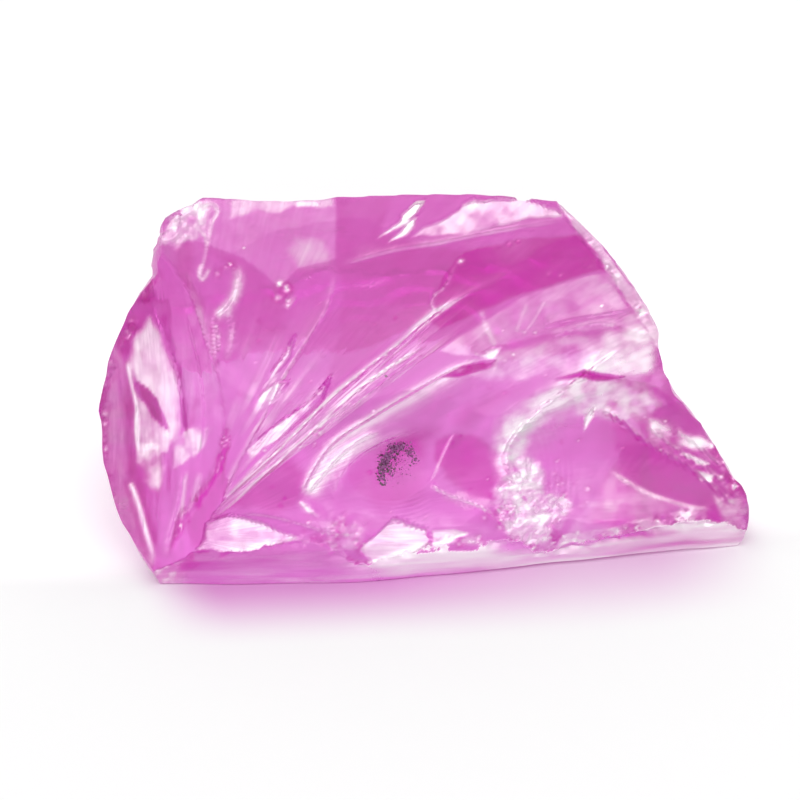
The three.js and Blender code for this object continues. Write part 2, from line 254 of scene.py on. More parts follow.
mainFace = {  # the big front break, in millimetres across and up its own plane
    "facing": unit((0.1206, -1.0, 0.8139)),
    "origin": np.array((0.0, 2.634, 3.0)),
    "size": (62, 66),
    "cells": (0.09, 0.2),
    "middle": (0, 12),
    "cellTurn": math.radians(38),  # the mesh runs along the hackles
    "fanCentre": (-18.3, 1.2),  # where the hackles come from
    "hollows": [  # across, up, half width, half height, depth, turn
        (-1.6, 5.5, 8.5, 5.5, 0.7, 0.0),
        (15.5, 5.2, 10.0, 5.6, 1.2, -0.15),
        (3.4, 0.2, 6.5, 3.4, 0.15, 0.0),
        (-5.0, 17.5, 12.0, 7.0, 0.5, 0.0),
        (-1.8, 5.6, 4.2, 2.6, 0.35, 0.2),
        (-20.5, 13.0, 5.0, 11.0, 0.5, 0.1),
        (9.0, 13.0, 6.0, 4.0, 0.4, 0.5),
    ],
    "strokes": [
        # the left edge of the face, and dark and light dashes beside it
        dict(points=[(-18.6, 1.6), (-17.1, 4.7), (-15.8, 7.2), (-15.1, 9.1), (-15.4, 11.4), (-15.8, 15.2),
                     (-16.3, 19.1), (-17.3, 23.4)],
             tall=0.2, wide=1.1, shine=0.3, band=(0.1, 0.25), broken=0.6),
        dict(points=[(-14.5, 9.8), (-14.8, 8.3), (-16.0, 5.9), (-17.7, 3.6), (-18.8, 2.0), (-19.5, -0.2)],
             kind="groove", tall=0.12, wide=0.2, toneAndShade=1.0, band=(0.28, 0.2), broken=0.5),
        dict(points=[(-15.2, 17.4), (-15.2, 15.6), (-15.2, 13.7)], tall=0.08, wide=0.2, toneAndShade=0.9, band=(0.1, 0.1)),
        dict(points=[(-14.8, 17.3), (-14.7, 16.2), (-14.7, 15.0)], shine=0.8, band=(0.1, 0.1), broken=0.7),
        dict(points=[(5.0, 1.5), (6.2, 0.2), (7.2, -1.0), (8.2, -1.9)], toneAndShade=1.0, band=(0.25, 0.25)),
        # the four long hackles that fan out of the lower left corner
        dict(points=[(-16.7, 1.3), (-14.1, 6.0), (-11.8, 9.6), (-9.8, 12.9), (-7.8, 15.6), (-6.0, 18.4),
                     (-5.3, 21.6)],
             tall=0.3, wide=0.5, shine=0.45, band=(0.25, 0.1), broken=0.5),
        dict(points=[(-17.5, 1.9), (-11.3, 6.7), (-6.3, 11.0), (-1.4, 14.4), (1.8, 16.7), (4.9, 18.3), (10.4, 20.3)],
             tall=0.45, wide=0.5, shine=0.85, band=(0.32, 0.09), fadeOut=0.5),
        dict(points=[(-16.2, 2.2), (-10.3, 6.6), (-5.0, 10.9), (-1.5, 13.1), (2.0, 14.8)],
             tall=0.3, wide=0.45, shine=0.8, band=(0.2, 0.1)),
        dict(points=[(-0.6, 15.0), (0.8, 16.0), (2.2, 16.9), (3.4, 17.5), (4.6, 18.1)],
             tall=0.1, wide=0.3, shine=0.9, band=(0.4, 0.14), fadeIn=0.3, fadeOut=0.5),
        # the swept ledges round the dark speck
        dict(points=[(-9.3, 3.4), (-8.6, 4.9), (-6.6, 7.4), (-3.5, 9.2), (0.4, 11.2), (3.5, 12.6), (6.2, 13.2)],
             tall=0.35, wide=0.9, shine=0.8, band=(0.35, 0.8), broken=0.15),
        dict(points=[(-8.9, 3.6), (-7.6, 5.0), (-5.9, 6.6), (-4.1, 7.7), (-2.4, 8.1)],
             tall=0.2, wide=0.6, shine=0.75, band=(0.3, 0.6), broken=0.1),
        dict(points=[(-6.9, 3.1), (-5.4, 5.8), (-2.6, 7.4), (0.2, 8.0)],
             tall=0.2, wide=0.6, shine=0.2, band=(0.5, 0.2)),
        # the right hollow's edge, the long line under the top and a wavy one
        dict(points=[(16.4, 13.5), (11.7, 10.5), (8.2, 8.0), (6.4, 5.5), (7.4, 2.8), (9.2, 0.3)],
             tall=0.3, wide=0.9, shine=0.6, band=(1.5, 0.8), broken=0.4),
        dict(points=[(-5.3, 21.0), (-0.8, 21.9), (2.5, 22.2), (6.9, 22.8), (13.8, 23.5)],
             tall=0.25, wide=1.0, shine=0.35, band=(0.3, 0.1)),
        dict(points=[(4.4, 21.3), (3.7, 20.3), (3.2, 19.3), (2.7, 18.7), (2.1, 18.3), (1.8, 17.7), (2.0, 17.1),
                     (2.2, 16.6)],
             kind="groove", tall=0.15, wide=0.15, shine=0.65, band=(0.14, 0.12), fadeIn=0.4, fadeOut=0.05,
             broken=0.5),
        # the right end's ledges and lines
        dict(points=[(14.7, 3.9), (17.4, 2.0), (20.8, 0.6), (22.5, 0.3)],
             tall=0.1, wide=0.8, shine=0.5, band=(0.15, 0.13)),
        dict(points=[(14.3, 8.6), (16.0, 7.5), (17.5, 6.0), (20.7, 3.8), (22.9, 1.6), (24.8, -0.2)],
             tall=0.55, wide=0.9, shine=0.35, band=(0.3, 0.1), broken=0.4),
        dict(points=[(17.6, 7.3), (20.0, 5.2), (22.4, 3.3), (24.3, 1.2)],
             tall=0.3, wide=0.5, shine=0.5, band=(0.2, 0.1), broken=0.5),
        dict(points=[(19.8, 6.8), (22.0, 5.0), (23.8, 3.0)],
             tall=0.25, wide=0.4, shine=0.45, band=(0.2, 0.1), broken=0.5),
        # thin lines beside the foil and in the pale band
        dict(points=[(2.8, 7.7), (2.0, 6.4), (1.2, 4.9), (0.6, 3.9)],
             tall=0.12, wide=0.4, shine=0.55, band=(0.1, 0.08)),
        dict(points=[(0.6, 3.9), (1.1, 3.4), (2.4, 2.7), (4.3, 1.8), (5.7, 0.7), (6.8, -0.5), (7.9, -1.7)],
             tall=0.25, wide=0.5, shine=0.65, toneAndShade=0.3, band=(0.12, 0.1), fadeOut=0.5, broken=0.3),
        dict(points=[(5.5, 17.1), (5.8, 15.7), (6.3, 14.5), (6.5, 13.9)], shine=0.5, band=(0.2, 0.2), broken=0.4),
        dict(points=[(10.6, 17.4), (9.7, 16.0), (8.6, 14.7)], shine=0.35, band=(0.07, 0.07)),
        dict(points=[(9.2, 17.3), (8.5, 15.9), (8.1, 14.8)], shine=0.25, band=(0.12, 0.07)),
        dict(points=[(10.3, 15.2), (12.0, 15.6), (15.0, 15.9), (18.2, 16.2)],
             tall=0.25, wide=0.7, toneAndShade=0.5, band=(0.3, 0.25)),
        dict(points=[(10.4, 14.3), (12.5, 14.9), (15.0, 15.2), (17.5, 14.2), (19.0, 14.0)],
             tall=0.1, wide=0.3, shine=0.35, band=(0.1, 0.08), broken=0.8),
        # curls and streaks under the upper left corner
        dict(points=[(-13.0, 22.0), (-12.9, 20.4), (-13.3, 19.2), (-14.1, 18.2), (-15.0, 17.7)],
             tall=0.2, wide=0.5, shine=0.75, band=(0.45, 0.4), fadeIn=0.3, fadeOut=0.15, broken=0.25),
        dict(points=[(-15.0, 18.0), (-15.1, 16.0), (-15.0, 14.2)],
             tall=0.1, wide=0.3, shine=0.4, band=(0.08, 0.1), broken=0.5),
        dict(points=[(-16.0, 25.2), (-15.1, 23.6), (-15.5, 21.7), (-15.9, 20.6)],
             tall=0.1, wide=0.3, shine=0.45, band=(0.1, 0.1)),
        dict(points=[(-17.9, 16.0), (-17.6, 12.5), (-16.9, 9.0), (-17.2, 5.5)],
             tall=0.08, wide=1.0, toneAndShade=0.2, band=(0.8, 0.5)),
        dict(points=[(-19.0, 18.4), (-18.3, 15.8), (-18.0, 13.0), (-18.0, 9.3), (-18.0, 7.0)],
             shine=0.3, toneAndShade=-0.3, band=(0.5, 0.5), broken=0.3),
        dict(points=[(-15.3, 24.7), (-15.4, 25.3), (-15.0, 26.2), (-14.4, 26.3), (-14.1, 25.7), (-14.6, 24.9),
                     (-14.9, 23.8), (-15.3, 22.4)],
             tall=0.1, wide=0.3, shine=0.65, band=(0.15, 0.13), fadeIn=0.05, broken=0.15),
        dict(points=[(-15.5, 22.0), (-15.8, 21.2), (-15.6, 20.6), (-15.2, 21.1), (-15.0, 21.6)],
             shine=0.7, band=(0.16, 0.14)),
        dict(points=[(-13.9, 18.4), (-13.7, 17.0), (-13.8, 15.5), (-14.3, 14.2)],
             tall=0.08, wide=0.3, shine=0.35, toneAndShade=-0.3, band=(0.3, 0.2), broken=0.7),
        dict(points=[(-9.5, 3.3), (-8.9, 2.6), (-8.1, 2.0)], tall=0.1, wide=0.3, shine=0.7, band=(0.15, 0.1)),
        # the rim of the slanting right edge
        dict(points=[(12.4, 24.0), (13.3, 22.7), (14.6, 20.8), (15.5, 19.4), (16.1, 18.4), (16.6, 17.5),
                     (17.7, 16.5)],
             tall=0.25, wide=0.5, toneAndShade=0.6, band=(0.12, 0.1), broken=0.4),
        dict(points=[(17.7, 16.7), (18.4, 15.7), (19.0, 14.5)], toneAndShade=1.2, band=(0.12, 0.1), fadeIn=0.3),
        dict(points=[(-14.0, 2.7), (-11.8, 2.3), (-9.4, 1.5), (-7.0, 0.6), (-5.0, 0.4)],
             tall=0.25, wide=0.8, shine=0.25, toneAndShade=0.2, band=(0.08, 0.08)),
    ],
    "lowerEdge": [(-19.5, -0.1), (-18.1, 0.0), (-15.6, -0.3), (-14.0, -0.4), (-12.8, 0.0), (-10.5, 0.1), (-8.9, 0.0),
                  (-7.4, -0.4), (-6.4, -1.6), (-5.2, -1.9), (-4.1, -1.7), (-1.2, -1.2), (0.4, -0.8), (2.2, -0.6),
                  (3.8, -0.8), (7.1, -1.1), (8.4, -2.0), (9.8, -1.9), (11.7, -1.7), (14.6, -1.4), (16.6, -1.2),
                  (18.6, -0.7), (20.8, -0.6), (22.2, -0.7), (23.5, -1.2), (24.6, -1.6)],
    "edgeSink": [  # across, and how far the face sinks at its lower edge
        (-21, 0.2), (-19.5, 0.14), (-18, 0), (-14, 0.13), (-12, 0), (-8, 0), (-6.4, 0.32), (-5, 0.39), (-4, 0.31),
        (-1.2, 0.13), (1, 0), (6, 0), (7.2, 0.08), (7.8, 0.31), (8.5, 0.53), (10, 0.53), (11.8, 0.44), (14.6, 0.3),
        (16.6, 0.18), (18.5, 0), (22, 0), (23.6, 0.31), (24.8, 0.64)],
    "patches": [
        # leaf-shaped flakes along the lower edge
        dict(points=[(-18.4, 0.0), (-17.2, 0.4), (-16.8, 1.0), (-16.6, 2.2), (-14.9, 2.6), (-13.8, 2.3),
                     (-12.3, 1.9), (-9.7, 0.5), (-12.8, -0.1), (-14.1, -0.5), (-15.6, -0.4)],
             tilt=11, shine=0.58, toneAndShade=-0.7, frost=0.3, soft=0.12, mottle=0.4, warp=0.1),
        dict(points=[(-5.0, -0.5), (-2.3, 1.5), (-1.2, 0.9), (0.1, 0.4), (0.3, -0.6), (-1.2, -1.3), (-4.1, -1.8),
                     (-4.9, -1.0)],
             tilt=12, shine=0.58, toneAndShade=-1.0, frost=0.3, soft=0.1, mottle=0.15, warp=0.08),
        dict(points=[(0.5, 0.3), (2.1, 0.3), (3.3, -0.1), (1.8, -0.6), (0.4, -1.0)],
             tilt=6, shine=0.7, toneAndShade=-1.0, frost=0.3, soft=0.1, mottle=0.2, warp=0.1),
        # flakes and shards under the upper edge
        dict(points=[(0.7, 22.9), (3.0, 24.1), (4.3, 24.8), (5.6, 25.5), (8.0, 25.5), (10.6, 25.1), (12.0, 24.4),
                     (12.3, 23.8), (9.4, 23.7), (5.3, 23.0), (2.6, 22.8)],
             tilt=9, shine=0.5, toneAndShade=-0.9, frost=0.35, soft=0.15, mottle=0.4, warp=0.15),
        dict(points=[(-1.9, 23.0), (-0.3, 24.1), (0.0, 24.8), (1.2, 25.5), (1.9, 25.5), (1.2, 24.7), (0.2, 23.9)],
             tilt=12, shine=0.85, toneAndShade=-1.0, frost=0.3, soft=0.1, warp=0.08),
        dict(points=[(-1.2, 22.6), (-0.2, 23.4), (0.3, 24.0), (1.3, 24.5), (1.0, 23.8), (0.3, 23.1)],
             tilt=12, shine=0.85, toneAndShade=-1.0, frost=0.3, soft=0.1, warp=0.05),
        # slivers between the hackles
        dict(points=[(-12.3, 10.8), (-11.7, 11.6), (-10.7, 12.3), (-9.5, 12.5), (-10.3, 11.4), (-11.3, 10.5),
                     (-12.2, 10.2)],
             tilt=8, shine=0.55, toneAndShade=-0.5, frost=0.35, soft=0.2, mottle=0.5, warp=0.1),
        dict(points=[(-13.2, 7.5), (-11.8, 8.6), (-9.8, 9.7), (-8.1, 10.9), (-6.3, 12.6), (-7.2, 10.8),
                     (-9.8, 8.6), (-11.8, 7.5), (-12.9, 6.9)],
             tilt=8, shine=0.5, toneAndShade=-0.4, frost=0.35, soft=0.25, mottle=0.6, warp=0.1),
        dict(points=[(-10.3, 13.2), (-9.3, 14.4), (-8.9, 15.9), (-9.6, 14.8), (-10.9, 13.2), (-11.6, 11.9)],
             tilt=10, shine=0.6, toneAndShade=-0.4, frost=0.3, soft=0.1, mottle=0.3, warp=0.08),
        dict(points=[(-16.5, 12.8), (-16.1, 14.4), (-15.6, 14.4), (-15.8, 12.9), (-16.2, 12.5)],
             tilt=4, shine=0.8, toneAndShade=-0.8, frost=0.3, soft=0.12, warp=0.05),
        dict(points=[(13.9, 8.9), (13.7, 8.1), (13.0, 7.1), (13.1, 8.2)],
             tilt=12, shine=0.9, toneAndShade=-1.0, frost=0.3, soft=0.1, warp=0.05),
        dict(points=[(4.7, 13.6), (6.9, 13.9), (6.4, 12.9)],
             tilt=8, shine=0.6, toneAndShade=-0.8, frost=0.3, soft=0.15, mottle=0.4),
        # silver flecks down the right end, and icing along its foot
        dict(points=[(17.9, 7.7), (19.4, 7.2), (19.7, 6.3), (18.8, 5.9), (18.1, 6.4)],
             shine=0.65, toneAndShade=-0.9, frost=0.3, soft=0.4, mottle=0.3),
        dict(points=[(20.2, 6.3), (21.8, 6.0), (22.8, 5.1), (21.5, 5.0), (20.3, 5.4)],
             shine=0.7, toneAndShade=-0.9, frost=0.3, soft=0.3, mottle=0.4),
        dict(points=[(20.3, 4.8), (21.4, 4.5), (22.5, 3.8), (21.6, 3.9)],
             shine=0.9, toneAndShade=-1, frost=0.3, soft=0.12, warp=0.05),
        dict(points=[(21.5, 3.3), (22.6, 2.9), (22.4, 2.4), (21.7, 2.6)],
             shine=0.8, toneAndShade=-1, frost=0.3, soft=0.12, warp=0.08),
        dict(points=[(8.8, -1.7), (9.1, -0.8), (11.8, -0.7), (14.9, -0.4), (17.3, 0.0), (20.5, 0.5), (20.6, -0.5),
                     (17.3, -1.1), (14.9, -1.4), (11.8, -1.7)],
             shine=0.35, toneAndShade=-0.9, frost=0.3, soft=0.15, mottle=0.7, crumple=0.05, warp=0.15),
        dict(points=[(19.7, 0.4), (20.6, 0.7), (22.3, 0.2), (21.5, -0.5), (20.2, -0.6)],
             shine=0.6, toneAndShade=-0.8, frost=0.3, soft=0.12, mottle=0.7),
        # the crumpled foil, the cloud above it and two dark slits
        dict(points=[(5.6, 3.0), (7.0, 4.3), (8.3, 5.6), (9.3, 4.4), (9.5, 2.7), (11.6, 1.7), (9.3, -0.8),
                     (8.3, -1.9), (6.9, -0.6), (5.8, 1.0)],
             shine=0.76, toneAndShade=-1.0, frost=0.4, soft=0.5, mottle=0.5, crumple=0.15),
        dict(points=[(15.0, 14.3), (16.6, 14.8), (18.5, 14.2), (18.8, 12.8), (17.5, 11.0), (15.2, 11.4),
                     (14.2, 12.9)],
             rounded=True, shine=0.45, toneAndShade=-1.0, frost=0.3, soft=0.9, mottle=0.15),
        dict(points=[(10.9, 11.2), (12.4, 11.5), (13.2, 11.75), (14.4, 11.4), (16.3, 11.0), (15.0, 10.8),
                     (14.0, 10.8), (12.7, 11.2)],
             tilt=-10, shine=-0.6, toneAndShade=1.2, soft=0.1, warp=0.05),
        dict(points=[(2.0, 11.9), (3.7, 12.75), (5.1, 12.95), (6.4, 12.9), (6.1, 12.5), (4.8, 12.2), (3.5, 11.9)],
             tilt=-10, shine=-0.6, toneAndShade=1.2, soft=0.12, warp=0.08),
        # pale marks along the upper edge and at the upper left corner
        dict(points=[(-13.2, 25.0), (-12.9, 26.6), (-10.7, 26.6), (-7.8, 26.4), (-5.3, 26.3), (-5.3, 25.8),
                     (-8.0, 25.7), (-10.7, 25.7), (-12.2, 25.3)],
             shine=0.35, toneAndShade=-0.8, frost=0.2, soft=0.2, mottle=0.4),
        dict(points=[(-8.2, 26.1), (-6.6, 26.1), (-6.4, 25.75), (-8.0, 25.8)],
             shine=0.85, toneAndShade=-0.8, frost=0.3, soft=0.12, warp=0.05),
        dict(points=[(-8.8, 22.6), (-8.0, 23.4), (-6.6, 23.2), (-5.7, 22.2), (-5.8, 21.5), (-8.2, 21.4)],
             shine=0.3, toneAndShade=-0.5, soft=0.5, mottle=0.2),
        dict(points=[(-17.8, 24.7), (-16.6, 26.0), (-14.9, 26.6), (-15.4, 25.3), (-16.6, 23.9), (-17.3, 22.9)],
             shine=0.3, toneAndShade=-0.5, frost=0.3, soft=0.3, mottle=0.7, crumple=0.05),
        dict(points=[(-18.3, 24.4), (-17.9, 25.2), (-17.3, 25.8), (-16.9, 25.6), (-17.2, 24.5), (-17.8, 23.8),
                     (-18.2, 23.7)],
             rounded=True, tilt=8, shine=0.2, toneAndShade=-0.4, frost=0.2, soft=0.25, mottle=0.5, warp=0.05),
        dict(points=[(-16.7, 26.4), (-16.0, 26.5), (-15.9, 25.6), (-16.7, 25.4)],
             tilt=8, shine=0.2, toneAndShade=-0.4, frost=0.2, soft=0.2, warp=0.05),
        dict(points=[(-9.9, 19.0), (-9.3, 19.9), (-8.9, 19.1), (-9.3, 18.2)],
             shine=0.5, toneAndShade=-0.6, frost=0.3, soft=0.2, mottle=0.9, crumple=0.12),
        dict(points=[(-9.7, 3.4), (-5.7, 1.9), (-4.4, 0.9), (-5.0, -0.6), (-7.4, -0.6), (-9.4, -0.1), (-10.0, 0.6),
                     (-8.4, 1.9)],
             shine=0.25, toneAndShade=-0.4, frost=0.35, soft=0.4, mottle=0.8, crumple=0.06),
        dict(points=[(-22.0, 20.5), (-19.6, 22.2), (-19.0, 24.0), (-17.0, 26.3), (-18.5, 25.8), (-20.5, 22.5)],
             shine=0.35, toneAndShade=-0.5, frost=0.3, soft=0.3, mottle=0.7, crumple=0.12),
    ],
    "zones": [  # broad painted shade and painted light, deeper and paler pink in place of what the stone shows through itself, and milky places
        # the painted dark band, the deep middle and the pale window
        dict(points=[(4.7, 21.6), (9.0, 22.1), (14.0, 22.4), (14.9, 21.0), (15.5, 19.5), (11.9, 18.8), (8.6, 17.8),
                     (5.5, 16.9), (3.4, 15.9), (2.3, 15.6), (1.5, 16.4), (2.2, 18.1), (2.8, 19.6)],
             toneAndShade=0.95, soft=0.15, warp=0.12),
        dict(points=[(12.1, 21.9), (14.6, 21.8), (15.2, 19.7), (11.9, 19.2), (5.5, 17.7), (4.8, 18.5), (8.9, 20.4)],
             toneAndShade=0.3, soft=0.8),
        dict(points=[(-5.0, 26.2), (-0.6, 26.1), (-1.6, 23.3), (2.6, 21.8), (4.7, 21.6), (2.8, 19.6), (2.2, 18.1),
                     (1.5, 16.4), (-1.4, 14.4), (-5.0, 11.3), (-7.3, 10.8), (-5.8, 14.6), (-5.0, 18.4),
                     (-5.2, 21.3)],
             toneAndShade=0.5, soft=0.3, warp=0.1),
        dict(points=[(-16.6, 26.3), (-14.9, 26.8), (-10.6, 26.4), (-5.0, 26.2), (-5.3, 21.6), (-8.3, 21.1),
                     (-9.7, 19.6), (-11.3, 21.2), (-12.4, 22.1), (-15.7, 23.6), (-17.1, 24.1)],
             shine=0.1, toneAndShade=-0.75, soft=0.1, warp=0.04),
        dict(points=[(-11.7, 24.8), (-9.7, 25.6), (-7.0, 25.4), (-5.6, 24.6), (-5.9, 22.7), (-7.6, 22.2),
                     (-9.5, 22.5), (-11.4, 23.6)],
             toneAndShade=0.45, soft=0.7),
        dict(points=[(-15.2, 23.3), (-12.6, 22.1), (-11.0, 20.7), (-9.5, 18.7), (-9.7, 16.4), (-11.5, 15.0),
                     (-13.1, 15.4), (-13.6, 17.4), (-13.0, 19.7), (-13.6, 21.8)],
             toneAndShade=0.45, soft=0.5),
        dict(points=[(-18.8, 23.2), (-18.3, 24.6), (-17.3, 25.8), (-15.6, 26.8), (-14.4, 25.8), (-15.1, 24.2),
                     (-16.2, 23.8), (-17.3, 23.6)],
             shine=0.3, toneAndShade=-0.8, soft=0.25, mottle=0.5, crumple=0.04),
        dict(points=[(-17.5, 23.8), (-16.3, 23.9), (-16.0, 22.0), (-16.7, 19.9), (-17.6, 20.7)],
             toneAndShade=0.7, soft=0.4),
        # the pale band under the dark one, and the milky sweep round the right hollow
        dict(points=[(2.1, 14.0), (4.6, 15.4), (8.6, 17.6), (11.8, 18.7), (15.5, 19.2), (16.4, 17.4), (17.9, 15.3),
                     (14.7, 14.9), (10.3, 14.7), (6.8, 14.1), (4.4, 13.4)],
             shine=0.24, toneAndShade=-0.6, soft=0.15, mottle=0.3, warp=0.12),
        dict(points=[(2.5, 12.6), (10.3, 14.2), (14.6, 14.6), (17.8, 15.2), (18.9, 13.3), (18.7, 11.4),
                     (15.9, 10.9), (13.6, 11.6), (9.7, 11.6), (6.0, 11.6)],
             shine=0.36, toneAndShade=-0.75, frost=0.12, soft=0.4, mottle=0.4),
        dict(points=[(6.3, 8.4), (8.8, 9.7), (11.6, 10.7), (14.3, 10.9), (17.4, 10.3), (18.9, 9.0), (17.2, 7.6),
                     (14.1, 8.4), (11.0, 8.8), (8.6, 7.4), (7.7, 5.6), (6.4, 4.5), (5.8, 6.1)],
             shine=0.65, toneAndShade=-0.85, soft=0.6, mottle=0.45),
        dict(points=[(14.6, 8.2), (16.0, 7.3), (17.5, 6.0), (20.7, 3.8), (22.9, 1.6), (23.5, 0.6), (21.3, 0.0),
                     (18.2, 1.3), (16.8, 2.2), (14.7, 3.9), (13.9, 5.5), (13.9, 7.1)],
             toneAndShade=0.25, soft=0.7, warp=0.08),
        dict(points=[(9.8, 4.6), (12.6, 4.8), (15.6, 4.4), (15.6, 1.4), (13.2, 0.0), (11.2, -0.6), (9.8, 1.8)],
             shine=0.1, toneAndShade=-0.3, frost=0.3, soft=0.8, mottle=0.3),
        dict(points=[(14.0, 8.4), (17.8, 6.0), (22.9, 1.6), (21.3, 0.0), (14.4, 3.4)], frost=0.12, soft=0.6),
        dict(points=[(10.2, -1.5), (11.5, 0.3), (13.6, 2.1), (14.7, 3.9), (17.4, 2.0), (20.8, 0.6), (22.5, 0.1),
                     (21.2, -0.4), (18.6, -0.7), (16.6, -1.2), (14.6, -1.4), (11.7, -1.7)],
             shine=0.12, toneAndShade=-0.7, soft=0.3, mottle=0.4),
        dict(points=[(13.6, 11.0), (16.0, 11.4), (18.7, 13.6), (20.2, 13.4), (21.6, 10.8), (23.4, 8.2),
                     (24.6, 5.6), (23.3, 3.9), (21.6, 3.8), (20.1, 5.1), (18.2, 6.0), (16.0, 7.3), (14.1, 8.2),
                     (13.0, 9.4)],
             shine=0.12, toneAndShade=0.1, frost=0.35, soft=0.4, mottle=0.35),
        dict(points=[(-21.0, -0.3), (-20.2, 0.2), (-19.3, -0.1), (-18.0, -0.5), (-18.4, -1.6), (-18.9, -2.1),
                     (-19.9, -1.7), (-20.7, -1.1)],
             shine=0.35, toneAndShade=-0.5, soft=0.3, mottle=0.8, crumple=0.1),
        dict(points=[(22.7, 0.3), (23.0, 3.0), (23.9, 3.3), (24.8, 0.9), (25.2, -0.1), (25.1, -1.3), (23.5, -1.2)],
             shine=0.38, toneAndShade=-0.5, soft=0.3, mottle=0.8),
        dict(points=[(-5.5, 5.0), (-4.4, 6.4), (-3.0, 7.6), (-0.6, 8.1), (1.7, 8.1), (0.8, 6.8), (0.3, 5.0),
                     (0.5, 3.0), (-1.1, 2.4), (-3.4, 2.5), (-5.0, 3.4)],
             toneAndShade=0.6, soft=0.8),
        dict(points=[(1.5, 7.2), (3.2, 7.8), (4.7, 6.9), (6.1, 5.9), (7.2, 4.5), (6.8, 2.9), (5.5, 2.3),
                     (3.6, 2.8), (1.8, 4.1), (1.2, 5.5)],
             toneAndShade=0.85, soft=0.3),
        dict(points=[(-3.3, 4.6), (-3.2, 5.8), (-2.7, 7.0), (-1.4, 7.9), (0.1, 7.5), (0.2, 6.2), (-0.8, 6.2),
                     (-1.7, 5.4)],
             toneAndShade=0.4, soft=0.6),
        dict(points=[(2.5, 8.6), (5.0, 10.4), (8.1, 10.9), (6.4, 9.5), (4.0, 7.8)], toneAndShade=0.45, soft=0.5),
        dict(points=[(1.6, 2.7), (2.8, 3.1), (4.7, 2.6), (5.8, 1.9), (4.6, 1.4), (3.1, 2.0)],
             shine=0.2, toneAndShade=0.3, soft=0.2),
        dict(points=[(-15.1, 3.4), (-12.1, 5.8), (-9.9, 6.8), (-8.8, 4.8), (-9.4, 3.0), (-11.7, 2.6), (-14.0, 3.1)],
             toneAndShade=0.75, soft=0.5),
        dict(points=[(-19.5, 4.0), (-17.3, 3.8), (-16.0, 8.0), (-15.2, 12.0), (-15.2, 16.0), (-16.4, 19.5),
                     (-18.6, 19.5), (-20.0, 10.0)],
             shine=0.26, toneAndShade=-0.55, soft=0.8, mottle=0.35),
        dict(points=[(-7.2, 2.8), (-1.9, 1.7), (3.4, 0.9), (5.7, 0.0), (1.0, -0.5), (-3.4, 1.4)],
             shine=0.12, toneAndShade=-0.4, soft=0.7, mottle=0.4),
        dict(points=[(12.0, 25.3), (12.9, 24.4), (14.1, 22.8), (15.1, 22.4), (15.5, 21.0), (16.9, 18.7),
                     (18.6, 16.6), (19.3, 15.3), (19.4, 13.0), (18.9, 13.3), (18.4, 14.5), (17.2, 16.5),
                     (15.9, 18.6), (14.5, 21.0), (13.3, 22.8), (12.3, 24.4)],
             shine=0.5, toneAndShade=-0.8, soft=0.1, warp=0.08),
    ],
    "ripples": [
        dict(centre=(-1.6, 5.5), tall=0.014, stretch=1.5, turn=12, inner=3.4, outer=7.0, start=140, stop=290,
             spacing=0.5),
        dict(centre=(2.0, 4.5), tall=0.018, stretch=1.0, turn=0, inner=7.0, outer=10.5, start=-25, stop=40,
             spacing=0.45),
        dict(centre=(24.0, -3.0), tall=0.004, stretch=1.0, turn=0, inner=5.0, outer=13.0, start=100, stop=170,
             spacing=0.7),
    ],
    "beads": [
        dict(points=[(-14.6, 9.4), (-15.2, 8.0), (-15.7, 6.8), (-16.3, 5.5), (-17.0, 4.4), (-18.3, 2.6)],
             count=64, size=0.16, tall=0.1, shine=1.0, spread=0.16, seed=41),
        dict(points=[(-18.4, 0.3), (-18.5, 1.5), (-18.2, 3.0), (-17.9, 5.0)],
             count=20, size=0.2, tall=0.1, shine=0.8, spread=0.15, seed=42),
        dict(points=[(5.7, 0.9), (7.0, 2.0), (9.5, 2.6), (11.5, 2.4)],
             count=60, size=0.22, tall=0.1, shine=0.8, spread=0.9, seed=43),
        dict(points=[(-9.6, 19.7), (-9.3, 18.6)], count=9, size=0.3, tall=0.12, shine=1.0, spread=0.4, seed=44),
        dict(points=[(17.2, 17.3), (17.9, 16.4), (18.6, 15.0)],
             count=10, size=0.22, tall=0.1, shine=0.9, spread=0.25, seed=45),
        dict(points=[(14.2, 21.8), (15.2, 20.3), (16.0, 19.0)],
             count=9, size=0.25, tall=0.1, shine=0.9, spread=0.2, seed=46),
        dict(points=[(22.6, 5.6), (23.8, 3.4), (24.7, 1.2)],
             count=26, size=0.25, tall=0.12, shine=0.8, spread=0.35, seed=47),
        dict(points=[(-9.0, 7.0), (-7.6, 8.6), (-10.0, 6.2)],
             count=16, size=0.18, tall=0.08, shine=0.8, spread=0.35, seed=48),
        dict(points=[(-9.0, 0.6), (-6.5, 0.8), (-5.5, -0.6)],
             count=40, size=0.22, tall=0.1, shine=0.6, spread=0.6, seed=49),
        dict(points=[(-14.8, 21.2), (-14.1, 21.3), (-13.0, 21.9)],
             count=6, size=0.25, tall=0.1, shine=1.0, spread=0.15, seed=50),
        dict(points=[(3.2, 20.8), (8.6, 21.9), (13.3, 21.9), (12.0, 20.2), (9.6, 19.4)],
             count=7, size=0.16, tall=0.06, shine=1.0, spread=0.5, seed=51),
        dict(points=[(9.1, -1.1), (11.8, -1.0), (14.9, -0.8), (17.3, -0.5), (20.5, 0.0)],
             count=40, size=0.2, tall=0.1, shine=1.2, spread=0.22, seed=54),
        dict(points=[(4.2, 20.8), (4.5, 20.8)], count=3, size=0.25, tall=0.1, shine=1.4, spread=0.03, seed=53),
        dict(points=[(-14, 22), (-9, 5), (14, 14), (19, 3)],
             count=110, size=0.13, tall=0.05, shine=1.0, spread=3.5, seed=52),
    ],
}
faceNormal = mainFace["facing"]
faceAcross, faceUp = axes(faceNormal)
fanCentre = mainFace["fanCentre"]


def onFace(s, t, lift=0.0):
    return mainFace["origin"] + faceAcross * s + faceUp * t + faceNormal * lift


